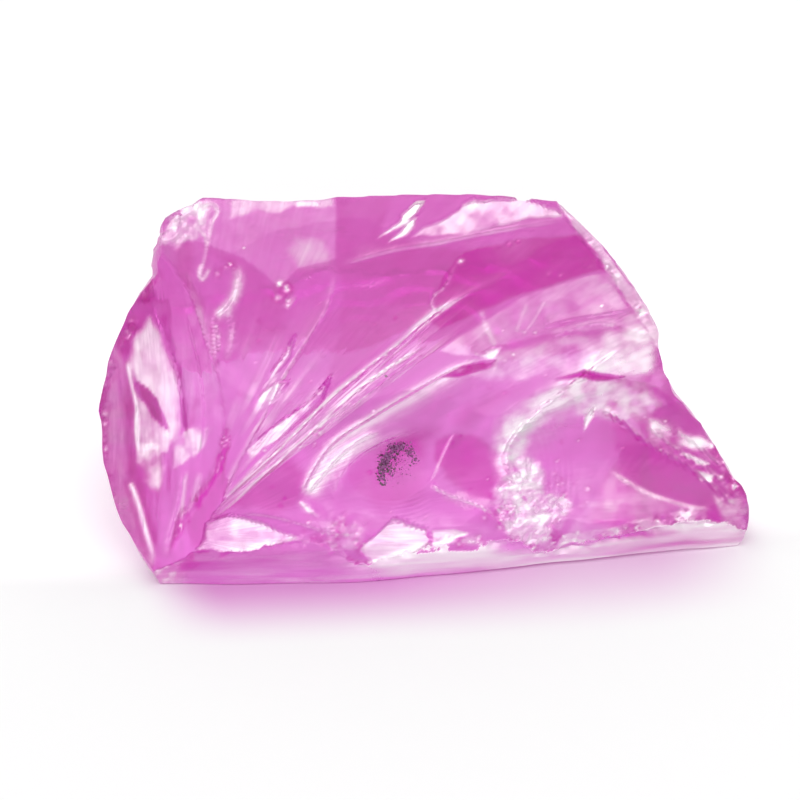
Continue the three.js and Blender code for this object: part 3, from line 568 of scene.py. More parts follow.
def hackles():  # angle, start, stop, width, height, shine: a tight bundle and a loose spread above it
    rng = np.random.default_rng(7)
    lines = []
    for angle in np.linspace(32.8, 38.6, 14):
        lines.append((angle + rng.normal(0, 0.15), rng.uniform(2, 6), rng.uniform(20, 31), rng.uniform(0.05, 0.12),
                      rng.uniform(0.05, 0.14), rng.uniform(0.1, 0.6)))
    for angle in np.linspace(40.0, 61.0, 20):
        start = rng.uniform(5, 13)
        lines.append((angle + rng.normal(0, 0.5), start, start + rng.uniform(4, 11), rng.uniform(0.08, 0.22),
                      rng.uniform(0.05, 0.12), rng.uniform(0.1, 0.5)))
    for angle in np.linspace(63.0, 80.0, 8):
        start = rng.uniform(4, 14)
        lines.append((angle + rng.normal(0, 0.7), start, start + rng.uniform(4, 9), rng.uniform(0.1, 0.25),
                      rng.uniform(0.04, 0.08), rng.uniform(0.0, 0.25)))
    return lines


def faceField(s, t):
    field = Field(s, t)
    warpS = s + 0.4 * rough(s, t, 4.0, 61)
    warpT = t + 0.4 * rough(s, t, 4.0, 64)
    for at, up, halfWidth, halfHeight, deep, turn in mainFace["hollows"]:
        field.relief -= deep * scoop(warpS - at, warpT - up, halfWidth, halfHeight, turn)
    for each in mainFace["zones"]:
        field.patch(**each)
    for each in mainFace["ripples"]:
        field.ripples(**each)
    for each in mainFace["strokes"]:
        field.stroke(**each)
    field.fan(fanCentre, hackles())
    for each in mainFace["patches"]:
        field.patch(**each)
    for each in mainFace["beads"]:
        field.beads(**each)
    rimS, rimT = np.array(mainFace["lowerEdge"]).T
    over = t - np.interp(s, rimS, rimT)
    sinkS, sinkDeep = np.array(mainFace["edgeSink"]).T
    field.relief -= np.interp(s, sinkS, sinkDeep) * smooth(1 - over / 1.5)
    field.stroke(mainFace["lowerEdge"], shine=0.5, band=(0.35, 0.3), broken=1.0, fadeIn=0.01, fadeOut=0.01)
    field.beads(mainFace["lowerEdge"], 150, 0.2, 0.12, 0.9, 55, 0.25)
    field.relief += 0.03 * rough(s, t, 3.0, 11) + 0.006 * rough(s, t, 0.8, 14, 2)
    return field


def breakSlab(at, facing, size, cells, relief, along=(0, 0, 1)):  # cuts the stone where its near side lies
    facing = unit(facing)
    across, upward = axes(facing, along)
    columns, rows = (max(1, round(side / pitch)) + 1 for side, pitch in zip(size, cells))
    x, y = np.meshgrid(np.linspace(-size[0] / 2, size[0] / 2, columns),
                       np.linspace(-size[1] / 2, size[1] / 2, rows))
    z = relief(x, y)
    near = np.array(at) + x[..., None] * across + y[..., None] * upward + z[..., None] * facing
    number = np.arange(rows * columns).reshape(rows, columns)
    rim = np.concatenate([number[0, :-1], number[:-1, -1], number[-1, :0:-1], number[:0:-1, 0]])
    rimPoints = near.reshape(-1, 3)[rim]
    lift = lump["slabThick"] - (rimPoints - np.array(at)) @ facing
    points = np.concatenate([near.reshape(-1, 3), rimPoints + lift[:, None] * facing])
    quads = np.stack([number[:-1, :-1], number[1:, :-1], number[1:, 1:], number[:-1, 1:]], -1).reshape(-1, 4)
    farRim = np.arange(len(rim)) + rows * columns
    sides = np.stack([rim, np.roll(rim, -1), np.roll(farRim, -1), farRim], -1)
    fours = np.concatenate([quads, sides])
    return meshFrom("slab", points, fours, [farRim])


def meshFrom(name, points, fours, others=()):
    rings = [fours.ravel()] + [np.asarray(ring) for ring in others]
    totals = np.concatenate([np.full(len(fours), 4)] + [[len(ring)] for ring in others]).astype(np.int32)
    loops = np.concatenate(rings).astype(np.int32)
    mesh = bpy.data.meshes.new(name)
    mesh.vertices.add(len(points))
    mesh.vertices.foreach_set("co", np.asarray(points, float).ravel())
    mesh.loops.add(len(loops))
    mesh.loops.foreach_set("vertex_index", loops)
    mesh.polygons.add(len(totals))
    mesh.polygons.foreach_set("loop_start", np.concatenate([[0], np.cumsum(totals)[:-1]]).astype(np.int32))
    mesh.update(calc_edges=True)
    mesh.validate()
    made = bpy.data.objects.new(name, mesh)
    bpy.context.scene.collection.objects.link(made)
    return made


def bites(x, y, edgeAt, seed, count, span, size, deep):  # little chips nibbled out of a slab along one of its lines
    rng = np.random.default_rng(seed)
    total = np.zeros(x.shape)
    for centre in rng.uniform(span[0], span[1], count):
        radius = size * rng.uniform(0.4, 1.4)
        off = edgeAt(centre) + rng.normal(0, 0.3) * size
        near = (np.abs(x - centre) < radius * 1.6) & (np.abs(y - off) < radius)
        bowl = scoop(x[near] - centre, y[near] - off, radius * 1.5, radius)
        total[near] = np.maximum(total[near], deep * radius / size * bowl)
    return total


def ribs(x, y, centre, seed, spacing=3.0, tall=0.12, rays=0.05):  # a shell-like break: ribs and fine rays
    u = x - centre[0] + 0.6 * noise(x, y, 6.0, seed)
    v = y - centre[1] + 0.6 * noise(x, y, 6.0, seed + 1)
    reach = np.hypot(u, v)
    angle = np.degrees(np.arctan2(v, u))
    phase = (reach / spacing + 0.6 * noise(angle, reach * 0, 25.0, seed + 2)) % 1.0
    rib = np.where(phase < 0.8, phase / 0.8, (1 - phase) / 0.2)
    fine = 1 - 2 * np.abs(noise(angle, reach / 6, 2.5, seed + 3))
    gate = smooth((reach - 4) / 4) * (0.5 + 0.5 * noise(angle, reach, 9.0, seed + 4))
    return tall * smooth(rib) + rays * fine * gate + 0.04 * rough(x, y, 2.5, seed + 5)


frontBand = {  # the narrow upright face along the lower front
    "at": np.array((3, 2.75, 4)),
    "facing": unit((0.1079, -0.9942, 0)),
    "size": (54, 16),
    "cells": (0.25, 0.16),
    "top": [  # across, and the height of its upper edge
        (-22, 2.9), (-17, 2.6), (-14, 3.2), (-11, 3.1), (-10, 2.6), (-9.4, 1.6), (-8, 1.3), (-7, 1.5), (-3, 2.3),
        (-1, 2.6), (4, 2.1), (5.5, 1.1), (7, 1.2), (12, 1.8), (16, 2.5), (18, 2.6), (19, 2.5), (21, 1.8), (22, 1.3)],
    "chips": ((201, 90, 0.35, 0.16), (202, 120, 0.2, 0.12)),  # along that edge: seed, count, size, depth
}


def bandTop(across):
    return np.interp(across, *np.array(frontBand["top"]).T) - 4.1


def bandRelief(x, y):
    reach = np.where(x < -8, (-8 - x) / 14, (x + 8) / 30)
    bow = 1.2 * (1 - np.maximum(reach, 0) ** 1.4) * np.maximum(0, 1 - 0.3 * (y + 4))
    nibbles = 0
    for seed, count, size, deep in frontBand["chips"]:
        nibbles = nibbles + bites(x, y, bandTop, seed, count, (-22, 22), size, deep)
    streaks = 0.05 * rough(x * 0.08, y, 0.9, 210) + 0.1 * rough(x, y * 2, 7.0, 213)
    ease = smooth((24.5 - np.abs(x)) / 3)
    return bow - (nibbles - streaks) * ease


lens = {  # the convex break on the left end
    "at": np.array((-17.6, 6.5, 10.5)),
    "facing": unit((-0.336, -0.738, 0.585)),
    "along": (-0.03, 0.628, 0.777),
    "size": (16, 34),
    "cells": (0.14, 0.25),
    "beads": [
        dict(points=[(-3.2, 15.0), (-3.1, 12.4), (-3.4, 10.9), (-4.7, 8.3), (-6.2, 6.5)],
             count=40, size=0.3, tall=0.12, shine=0.6, spread=0.25, seed=231),
        dict(points=[(2.6, -0.5), (1.8, -2.3), (1.3, -3.6), (-0.5, -6.0), (-2.0, -8.6)],
             count=54, size=0.2, tall=0.1, shine=0.9, spread=0.18, seed=233),
        dict(points=[(-6.2, 6.5), (-7.2, 4.2), (-7.8, 1.0), (-7.7, -3.0), (-6.5, -7.0)],
             count=26, size=0.3, tall=0.12, shine=0.5, spread=0.2, seed=232),
    ],
    # flakes and marks, with painted shade and painted light as deeper and paler pink
    "patches": [
        dict(points=[(-6.7, 6.9), (-7.6, 3.9), (-7.8, 0.0), (-7.6, -3.8), (-6.8, -6.5), (-5.5, -8.9),
                     (-3.9, -10.9), (-3.4, -10.1), (-4.3, -7.8), (-5.2, -5.3), (-5.7, -3.1), (-5.3, -0.9),
                     (-5.5, 2.2), (-5.7, 4.9)],
             shine=0.16, toneAndShade=-0.1, frost=0.25, soft=0.35, mottle=0.3, warp=0.1),
        dict(points=[(-5.8, 4.4), (-5.4, 2.6), (-5.25, 0.7), (-5.35, -1.2), (-5.3, -3.4), (-5.8, -4.4),
                     (-6.1, -0.8), (-6.1, 2.2)],
             toneAndShade=0.9, soft=0.25, warp=0.1),
        dict(points=[(-3.5, 8.4), (-2.7, 6.7), (-1.9, 4.3), (-1.7, 1.3), (-2.2, -1.0), (-2.8, -0.4), (-3.6, 1.4),
                     (-4.8, 3.2), (-5.3, 4.8), (-4.7, 6.8)],
             shine=0.7, toneAndShade=-0.9, frost=0.35, soft=0.45, mottle=0.2, warp=0.2),
        dict(points=[(-5.2, 2.8), (-4.7, 2.2), (-3.9, 1.0), (-3.0, -0.1), (-2.3, -0.6), (-2.6, -1.8), (-3.9, -1.5),
                     (-5.0, -1.6), (-5.3, -0.1)],
             shine=0.5, toneAndShade=-0.7, frost=0.3, soft=0.2, mottle=0.3, warp=0.1),
        dict(points=[(-5.1, 3.6), (-4.2, 3.1), (-3.4, 2.3), (-3.0, 1.5), (-2.5, -0.2), (-3.1, 0.3), (-3.9, 1.2),
                     (-4.6, 2.3)],
             shine=-0.9, toneAndShade=1.3, frost=-0.3, soft=0.1, warp=0.1),
        dict(points=[(-2.0, -0.6), (-0.9, 0.1), (1.0, -0.1), (0.4, -1.3), (-0.4, -2.1), (-1.2, -2.8), (-2.1, -3.2)],
             shine=0.55, toneAndShade=-0.7, frost=0.35, soft=0.2, mottle=0.6, warp=0.25),
        dict(points=[(-4.8, -1.3), (-3.7, -1.1), (-3.0, -1.7), (-2.9, -3.3), (-3.6, -4.7), (-4.6, -3.9),
                     (-5.1, -2.6)],
             shine=0.62, toneAndShade=-0.9, frost=0.35, soft=0.35, mottle=0.5, warp=0.25),
        dict(points=[(-2.6, 10.5), (-1.0, 11.5), (0.0, 9.0), (-0.6, 6.0), (-1.6, 7.5)], toneAndShade=0.3, soft=0.8),
        dict(points=[(-0.9, 10.4), (2.0, 9.4), (2.5, 5.6), (2.4, 1.8), (1.9, 0.3), (-0.6, 0.8), (-1.1, 3.5),
                     (-1.3, 7.3)],
             shine=0.08, toneAndShade=-0.35, soft=0.7, mottle=0.6, warp=0.3),
        dict(points=[(2.8, -0.2), (2.5, -1.2), (1.8, -2.3), (1.3, -3.6), (0.4, -4.9), (-0.5, -6.0), (-1.3, -7.1),
                     (-0.5, -9.0), (0.2, -9.5), (1.2, -7.0), (2.8, -4.2), (3.8, -1.3)],
             toneAndShade=0.6, soft=0.2, warp=0.12),
    ],
    "strokes": [
        dict(points=[(-5.7, 5.4), (-5.4, 3.4), (-5.1, 1.4), (-5.1, -0.9), (-5.0, -2.6)],
             tall=0.12, wide=0.4, shine=0.8, band=(0.12, 0.15)),
        dict(points=[(-5.8, -4.0), (-5.2, -5.1), (-4.3, -7.7), (-3.4, -10.2)],
             tall=0.12, wide=0.5, shine=0.9, band=(0.17, 0.17)),
        dict(points=[(-6.2, -3.6), (-5.7, -5.2), (-4.8, -7.8), (-3.9, -10.4)], toneAndShade=0.9, band=(0.22, 0.22)),
        dict(points=[(-5.2, -3.4), (-4.7, -5.0), (-3.8, -7.6), (-2.9, -10.1)], toneAndShade=0.6, band=(0.2, 0.2)),
        dict(points=[(-1.2, -3.3), (-1.6, -5.6), (-2.2, -7.8), (-2.6, -10.0)],
             tall=0.15, wide=0.6, shine=0.3, band=(0.2, 0.3), broken=0.5),
        dict(points=[(-3.2, 9.5), (-2.2, 6.0), (-1.4, 2.0), (-1.5, -2.0)],
             tall=0.25, wide=0.7, toneAndShade=0.25, band=(0.25, 0.2)),
        dict(points=[(-0.6, 9.0), (0.3, 4.0), (0.4, 0.0), (-0.4, -4.0)],
             tall=0.15, wide=0.9, shine=0.1, band=(0.15, 0.2), broken=0.5),
        dict(points=[(2.8, -0.2), (2.5, -1.2), (1.8, -2.3), (1.3, -3.6), (0.4, -4.9), (-0.5, -6.0), (-1.5, -6.9),
                     (-2.0, -8.6), (-2.4, -10.0)],
             kind="groove", tall=0.1, wide=0.3, toneAndShade=1.0, band=(0.22, 0.2), fadeIn=0.05, fadeOut=0.1, broken=0.4),
        dict(points=[(-1.1, -3.3), (-1.3, -5.6), (-1.5, -7.8)], shine=0.35, band=(0.16, 0.16)),
        dict(points=[(0.0, -3.4), (-0.5, -5.6), (-1.0, -7.1)], shine=0.25, toneAndShade=-0.3, band=(0.3, 0.2)),
        dict(points=[(-0.1, 2.5), (-0.6, 0.4), (-1.3, -1.4)], toneAndShade=0.6, band=(0.3, 0.25)),
    ],
}


def lensField(x, y):
    field = Field(x, y)
    field.relief += 0.5 - 1.5 * (1 - (y / 12) ** 2) + 0.25 * (np.minimum(0, x) / 5) ** 2
    field.relief += 0.05 * rough(x, y * 0.3, 1.6, 221) + 0.02 * rough(x, y * 0.2, 0.6, 224)
    for each in lens["patches"]:
        field.patch(**each)
    for each in lens["strokes"]:
        field.stroke(**each)
    for each in lens["beads"]:
        field.beads(**each)
    return field


def sideRelief(x, y):
    drop = 2.5 * (np.minimum(y, 12.4) / 9) ** 2 + 0.15 * np.maximum(0, y - 12.4)
    drop = drop + 1.4 * (np.maximum(0, 3.5 + x) / 3.5) ** 2 + 0.8 * (np.maximum(0, -x - 12) / 12) ** 2
    shoulder = smooth((y - 8) / 4) * smooth((x + 8) / 4)
    chips = 0.3 * shoulder * np.abs(rough(x, y, 1.4, 240, 2))
    inward = 0.2 * smooth((2.5 - y) / 2) * smooth((y + 12) / 3)
    return 0.2 - inward - drop - chips - 0.25 * ribs(x, y, (-14, -18), 243, 3.5, 0.5, 0.2)


def baseRelief(x, y):
    ease = smooth((18.5 - np.abs(y)) / 6) * smooth((26 - np.abs(x)) / 6)
    return -ease * (0.12 * (1 + rough(x, y, 13.0, 31, 2)) + 0.2 * scoop(x - 6, y + 2, 14, 9)
                    + 0.15 * ribs(x, y, (-20, 10), 33, 5.0, 0.2, 0.05))


backBreaks = [  # a point, facing, size, hollow depth, hollow middle, where its ribs start
    ((-3.35, 18.65, 23.25), (-0.036, 0.833, 0.552), (60, 30), 0.5, (0, -8), (24, 2)),
    ((-19, 17.6, 24), (-0.06, 0.86, 0.5), (23.4, 34), 0.7, (-1, -9), (10, -14)),
    ((0.5, 26, 13.9), (-0.089, 0.9, 0.426), (60, 36), 0.3, (-8, -5), (-22, 8)),
    ((5.6, 31, 4.4), (-0.092, 0.976, 0.193), (60, 30), 0.6, (-6, 0), (20, -6)),
    ((-12.2, 27.2, 8.2), (-0.02, 0.955, 0.296), (60, 40), 0.8, (2, -2), (-10, -9)),
    ((-20.8, 25, 8), (-0.78, 0.6, 0.15), (40, 50), 0.6, (0, 2), (9, 9)),
    ((17.8, 28, 3), (0.62, 0.77, 0.12), (40, 50), 0.7, (0, 4), (-9, -7)),
]


def mainRelief(x, y):  # from the slab's own turned directions to across and up the face
    turn = mainFace["cellTurn"]
    s = x * math.sin(turn) + y * math.cos(turn)
    t = y * math.sin(turn) - x * math.cos(turn) + mainFace["middle"][1]
    return faceField(s, t).relief


def lensRelief(x, y):
    return lensField(x, y).relief


def cornerRelief(x, y):
    knobs = 0.45 * scoop(x + 0.5, 0 * y, 1.9, 1) + 1.5 * smooth((x - 5) / 2)
    return knobs - 0.05 * x ** 2 - 0.4 * np.abs(rough(x, y, 1.3, 251, 2))


def edgeNibbles(x, y, seed, span):
    return bites(y, x, lambda at: 0.0, seed, 40, span, 0.7, 0.25)


def rightUpperRelief(x, y):
    bow = 0.5 - 1.1 * ((np.maximum(y, -5.0) + 0.5) / 7.9) ** 2
    tuck = 1.1 * smooth((-3.3 - y) / 3.2) * (1 - 0.4 * smooth((-9 - y) / 5))
    hollow = 0.5 * scoop(x - 12, y, 11, 12)
    return bow - tuck - hollow - edgeNibbles(x, y, 261, (-14, 14)) - 0.15 * ribs(x, y, (0, -25), 263)


def rightLowerRelief(x, y):
    swell = 0.65 * scoop(0 * x, y - 0.5, 1, 6.5) + 0.12 * np.maximum(0, y - 8) ** 2
    hollow = 0.5 * scoop(x - 9, y, 10, 9)
    return swell - 0.1 - hollow - edgeNibbles(x, y, 271, (-10, 10)) - 0.15 * ribs(x, y, (4, -25), 273)


def tipRelief(x, y):
    bow = np.where(x < 0, 0.1, 0.003) * x ** 2 + 0.07 * y ** 2
    return -bow - 0.3 * np.maximum(0, -1.4 - y) ** 2 - 0.15 * np.abs(rough(x, y, 1.5, 281, 2))


def backRelief(index, width, deep, mid, start):
    calm = 0.35 if index < 2 else 1.0  # the crest's own line stays clean

    def relief(x, y):
        hollow = deep * scoop(x - mid[0], y - mid[1], 13, 9)
        swell = 0.12 * rough(x, y, 9.0, 290 + index, 2)
        if width < 30:  # the short break eases out of the stone at both ends
            swell = swell + 1.5 * smooth((np.abs(x) - width / 2 + 4.5) / 4.5)
        if index == 0:  # the crest arches up in its middle and dips before the shoulder
            hollow = hollow - 0.46 * scoop(x + 4, y, 9, 6) + 0.23 * scoop(x - 8.2, y, 4.5, 5)
        return swell * calm - hollow - calm * ribs(x, y, start, 301 + 9 * index, 2.6, 0.16, 0.07)
    return relief


meshTurn = mainFace["cellTurn"]
meshAlong = faceAcross * math.cos(meshTurn) + faceUp * math.sin(meshTurn)
crestUp = unit(onFace(12, 25.1) - onFace(25.1, 0.8))  # up the right end's slanting edge
crestFacing = np.cross(crestUp, faceNormal) + 0.13 * faceNormal
upright = (0, 0, 1)
breaks = [  # a point, facing, size, cells, relief, the slab's own up; the order matters to the cut
    (onFace(*mainFace["middle"]), faceNormal, mainFace["size"], mainFace["cells"], mainRelief, meshAlong),
    (frontBand["at"], frontBand["facing"], frontBand["size"], frontBand["cells"], bandRelief, upright),
    (lens["at"], lens["facing"], lens["size"], lens["cells"], lensRelief, lens["along"]),
    (onFace(-24.5, 9), -faceAcross - 0.1 * faceNormal, (76, 44), (0.5, 0.4), sideRelief, faceUp),
    (onFace(-18, 25), faceUp - faceAcross - 0.05 * faceNormal, (14, 40), (0.35, 0.5), cornerRelief, faceNormal),
    (onFace(17.3, 17.7), crestFacing, (70, 34), (0.4, 0.3), rightUpperRelief, crestUp),
    (onFace(23.6, 3.3), crestFacing - 0.02 * crestUp, (70, 25.4), (0.4, 0.3), rightLowerRelief, crestUp),
    ((25, 5.6, 2.4), (1, -0.12, 0.02), (30, 10), (0.4, 0.3), tipRelief, upright),
    ((0, 16, 0), (0, 0, -1), (60, 44), (0.6, 0.6), baseRelief, (0, 1, 0)),
]
for index, (at, facing, size, deep, mid, start) in enumerate(backBreaks):
    breaks.append((at, facing, size, (0.5, 0.5), backRelief(index, size[0], deep, mid, start), upright))
tools = [breakSlab(*each) for each in breaks]
print("breaks shaped:", len(tools))

low, high = (np.array(corner, float) for corner in lump["block"])
corners = [(x, y, z) for x in (low[0], high[0]) for y in (low[1], high[1]) for z in (low[2], high[2])]
blockSides = np.array([(0, 1, 3, 2), (4, 6, 7, 5), (0, 4, 5, 1), (2, 3, 7, 6), (0, 2, 6, 4), (1, 5, 7, 3)])
block = meshFrom("block", corners, blockSides)
for tool in tools:
    cut = block.modifiers.new("cut", "BOOLEAN")
    cut.operation = "DIFFERENCE"
    cut.solver = "MANIFOLD"
    cut.object = tool
graph = bpy.context.evaluated_depsgraph_get()
mesh = bpy.data.meshes.new_from_object(block.evaluated_get(graph))
for tool in tools + [block]:
    bpy.data.objects.remove(tool)
mesh.name = "pinkCrystal"
mesh.calc_loop_triangles()
print("crystal broken out:", len(mesh.vertices), "points,", len(mesh.loop_triangles), "triangles")


def readPoints(layer, name):
    values = np.zeros(len(layer) * 3)
    layer.foreach_get(name, values)
    return values.reshape(-1, 3)


places = readPoints(mesh.vertices, "co")
facings = readPoints(mesh.vertex_normals, "vector")

finish = {  # colours and finishes of the crystal; pale and deep are where the painted light and painted shade take the pink
    "pale": np.array((0.88, 1.0, 0.87)),
    "usual": np.array((0.72, 0.7, 0.66)),
    "deep": np.array((0.51, 0.0, 0.33)),
    "silver": np.array((0.95, 0.85, 0.92)),
    "streak": (0.8, 0.35, 0.7, 1),
    "streakPart": 0.42,
    "polish": 0.015,
    "bumpDepth": 0.00005,  # metres
    "refraction": 1.6,
    "inner": (0.99, 0.0, 0.94, 1),  # what the stone lets through
    "innerDensity": 58.0,
}


def placesOn(at, facing, along=(0, 0, 1)):  # where each point lies across, up and out of a break
    across, upward = axes(facing, along)
    away = places - at
    return away @ across, away @ upward, away @ facing


def bandLook(x, z):  # layers of clear and milky stone, paler to the right
    paleEnd = smooth((x + 7.5) / 5)
    leftTop = smooth((z - 0.6) / 1.2)
    corner = smooth((-18.0 - x) / 1.2)
    layers = rough(x * 0.12, z, 0.9, 411)
    toneAndShade = (0.6 * leftTop - 0.5) * (1 - paleEnd) - 0.9 * paleEnd + 0.35 * layers
    shine = (0.22 - 0.14 * leftTop + (0.64 + 0.14 * leftTop) * paleEnd) * np.clip(0.9 + 0.8 * layers, 0.1, 1.6)
    shine += 0.25 * smooth(rough(x * 0.1, z, 0.7, 431) - 0.3)
    shine += corner * (0.15 + 0.6 * smooth(rough(x, z, 0.35, 441, 2)))
    return shine, toneAndShade - corner, 0.1 + 0.6 * paleEnd


def paint():  # one look for the whole skin: tint with its painted shade and painted light, shine, frost and the direction of the fine grain
    x, y, z = places.T
    feather = rough(x * 0.6 + y * 0.2, z - 0.7 * y, 2.2, 407)
    shine = 0.3 * smooth((feather - 0.75) / 0.5)
    toneAndShade = 0.18 * rough(x + z, y - z, 7.0, 401) + 0.1 * rough(x, z, 2.0, 404)
    frost = 0.15 * smooth((feather - 0.4) / 0.8)
    frost += 0.4 * smooth((facings[:, 1] - 0.2) / 0.4) + 0.4 * smooth((-facings[:, 2] - 0.6) / 0.3)
    grain = np.stack([z + 0.3 * y, 0.1 * (x + 0.4 * y), 0 * x], -1)

    s, t, lift = placesOn(mainFace["origin"], faceNormal)
    main = faceField(s, t)
    mainToneAndShade = main.toneAndShade + 0.12 * rough(s, t, 3.0, 421)
    onMain = 1.0 * (np.abs(lift - main.relief) < 0.1) * (facings @ faceNormal > 0.2)
    angle = np.degrees(np.arctan2(t - fanCentre[1], s - fanCentre[0]))
    reach = np.hypot(t - fanCentre[1], s - fanCentre[0])
    fanGrain = np.stack([angle * 0.3, reach * 0.07, 0 * s + 20], -1)

    bandX, bandY, lift = placesOn(frontBand["at"], frontBand["facing"])
    bandShine, bandToneAndShade, bandFrost = bandLook(x, z)
    onBand = 1.0 * (np.abs(lift - bandRelief(bandX, bandY)) < 0.04) * (z < 5)
    bandGrain = np.stack([z, 0.04 * x, 0 * x + 60], -1)

    lensX, lensY, lift = placesOn(lens["at"], lens["facing"], lens["along"])
    curved = lensField(lensX, lensY)
    onLens = 1.0 * (np.abs(lift - curved.relief) < 0.1) * (facings @ lens["facing"] > 0.2)
    lensGrain = np.stack([lensX, lensY * 0.1, 0 * x + 40], -1)

    for mask, ownShine, ownToneAndShade, ownFrost, ownGrain in (
            (onMain, main.shine, mainToneAndShade, main.frost, fanGrain),
            (onBand, bandShine, bandToneAndShade, bandFrost, bandGrain),
            (onLens, curved.shine, curved.toneAndShade, curved.frost, lensGrain)):
        shine = shine * (1 - mask) + ownShine * mask
        toneAndShade = toneAndShade * (1 - mask) + ownToneAndShade * mask
        frost = frost * (1 - mask) + ownFrost * mask
        grain = np.where(mask[:, None] > 0.5, ownGrain, grain)
    shine = np.clip(shine, 0, 0.95)
    # the tint: painted shade deepens the pink and painted light pales it, silvery where the skin shines
    toneAndShade = np.clip(toneAndShade - 0.5 * shine, -1, 1)
    paler = np.clip(-toneAndShade, 0, 1)[:, None]
    deeper = np.clip(toneAndShade, 0, 1)[:, None]
    tint = finish["usual"] * (1 - paler - deeper) + finish["pale"] * paler + finish["deep"] * deeper
    tint = tint * (1 - shine[:, None]) + finish["silver"] * shine[:, None]
    return tint, shine, np.clip(frost, 0, 1), grain


tint, shine, frost, grain = paint()


def store(name, values, kind="FLOAT_COLOR"):
    layer = mesh.attributes.new(name, kind, "POINT")
    if kind == "FLOAT_COLOR":
        values = np.concatenate([values, np.ones((len(values), 1))], 1)
    layer.data.foreach_set("color" if kind == "FLOAT_COLOR" else "vector", values.astype(np.float32).ravel())


store("tint", tint)
store("gloss", np.stack([shine, frost, 0 * shine], -1))
store("grain", grain, "FLOAT_VECTOR")
mesh.transform(Matrix.Translation(lumpZero) @ Matrix.Scale(mm, 4))
mesh.polygons.foreach_set("use_smooth", np.ones(len(mesh.polygons), bool))
mesh.set_sharp_from_angle(angle=math.radians(lump["sharpAngle"]))
crystal = bpy.data.objects.new("pinkCrystal", mesh)
bpy.context.scene.collection.objects.link(crystal)
print("crystal painted")


class Wire:  # a socket that can stand in a sum
    def __init__(self, bench, socket):
        self.bench = bench
        self.socket = socket

    def sum(self, operation, first, second):
        return self.bench.add("ShaderNodeMath", {"operation": operation}, {0: first, 1: second})["Value"]

    def __add__(self, other):
        return self.sum("ADD", self, other)

    def __radd__(self, other):
        return self.sum("ADD", other, self)

    def __sub__(self, other):
        return self.sum("SUBTRACT", self, other)

    def __rsub__(self, other):
        return self.sum("SUBTRACT", other, self)

    def __mul__(self, other):
        return self.sum("MULTIPLY", self, other)

    def __rmul__(self, other):
        return self.sum("MULTIPLY", other, self)


class Bench:  # one node tree and the one way its nodes are made
    def __init__(self, tree):
        self.tree = tree

    def add(self, kind, settings=None, inputs=None):
        node = self.tree.nodes.new(kind)
        for name, value in (settings or {}).items():
            setattr(node, name, value)
        sockets = [socket for socket in node.inputs if socket.enabled]
        for name, value in (inputs or {}).items():
            self.feed(sockets[name] if isinstance(name, int) else next(s for s in sockets if s.name == name), value)
        return {socket.name: Wire(self, socket) for socket in node.outputs if socket.enabled}

    def feed(self, socket, value):
        if isinstance(value, Wire):
            self.tree.links.new(value.socket, socket)
        else:
            socket.default_value = value


def newMaterial(name):
    material = bpy.data.materials.new(name)
    material.use_nodes = True
    return material, Bench(material.node_tree), material.node_tree.nodes["Principled BSDF"]


def crystalMaterial():
    material, bench, shader = newMaterial("pinkCrystal")
    tintColour = bench.add("ShaderNodeAttribute", {"attribute_name": "tint"})["Color"]
    gloss = bench.add("ShaderNodeAttribute", {"attribute_name": "gloss"})["Color"]
    parts = bench.add("ShaderNodeSeparateColor", {}, {"Color": gloss})
    shineHere, frostHere = parts["Red"], parts["Green"]
    along = bench.add("ShaderNodeAttribute", {"attribute_name": "grain"})["Vector"]
    streak = bench.add("ShaderNodeTexNoise", {}, {
        "Vector": along, "Scale": 2.4, "Detail": 5.0, "Roughness": 0.6})["Fac"]
    streak = bench.add("ShaderNodeMapRange", {}, {"Value": streak, "From Min": 0.3, "From Max": 0.7})["Result"]
    where = bench.add("ShaderNodeTexCoord")["Object"]
    specks = bench.add("ShaderNodeTexNoise", {}, {"Vector": where, "Scale": 1500.0, "Detail": 3.0})["Fac"]
    veil = bench.add("ShaderNodeMix", {"data_type": "RGBA"}, {
        "Factor": streak, "A": finish["streak"], "B": (1, 1, 1, 1)})["Result"]
    colour = bench.add("ShaderNodeMix", {"data_type": "RGBA", "blend_type": "MULTIPLY"}, {
        "Factor": finish["streakPart"] * (1 - shineHere), "A": tintColour, "B": veil})["Result"]
    bump = bench.add("ShaderNodeBump", {}, {
        "Height": streak + 0.5 * specks, "Strength": 0.25, "Distance": finish["bumpDepth"]})["Normal"]
    bench.feed(shader.inputs["Base Color"], colour)
    bench.feed(shader.inputs["Metallic"], shineHere * (0.62 + 0.5 * streak))
    bench.feed(shader.inputs["Roughness"], finish["polish"] + frostHere * (0.25 + 0.3 * specks) + 0.1 * shineHere)
    bench.feed(shader.inputs["Normal"], bump)
    bench.feed(shader.inputs["Transmission Weight"], 1.0)
    bench.feed(shader.inputs["IOR"], finish["refraction"])
    absorb = bench.add("ShaderNodeVolumeAbsorption", {}, {
        "Color": finish["inner"], "Density": finish["innerDensity"]})["Volume"]
    bench.feed(material.node_tree.nodes["Material Output"].inputs["Volume"], absorb)
    return material


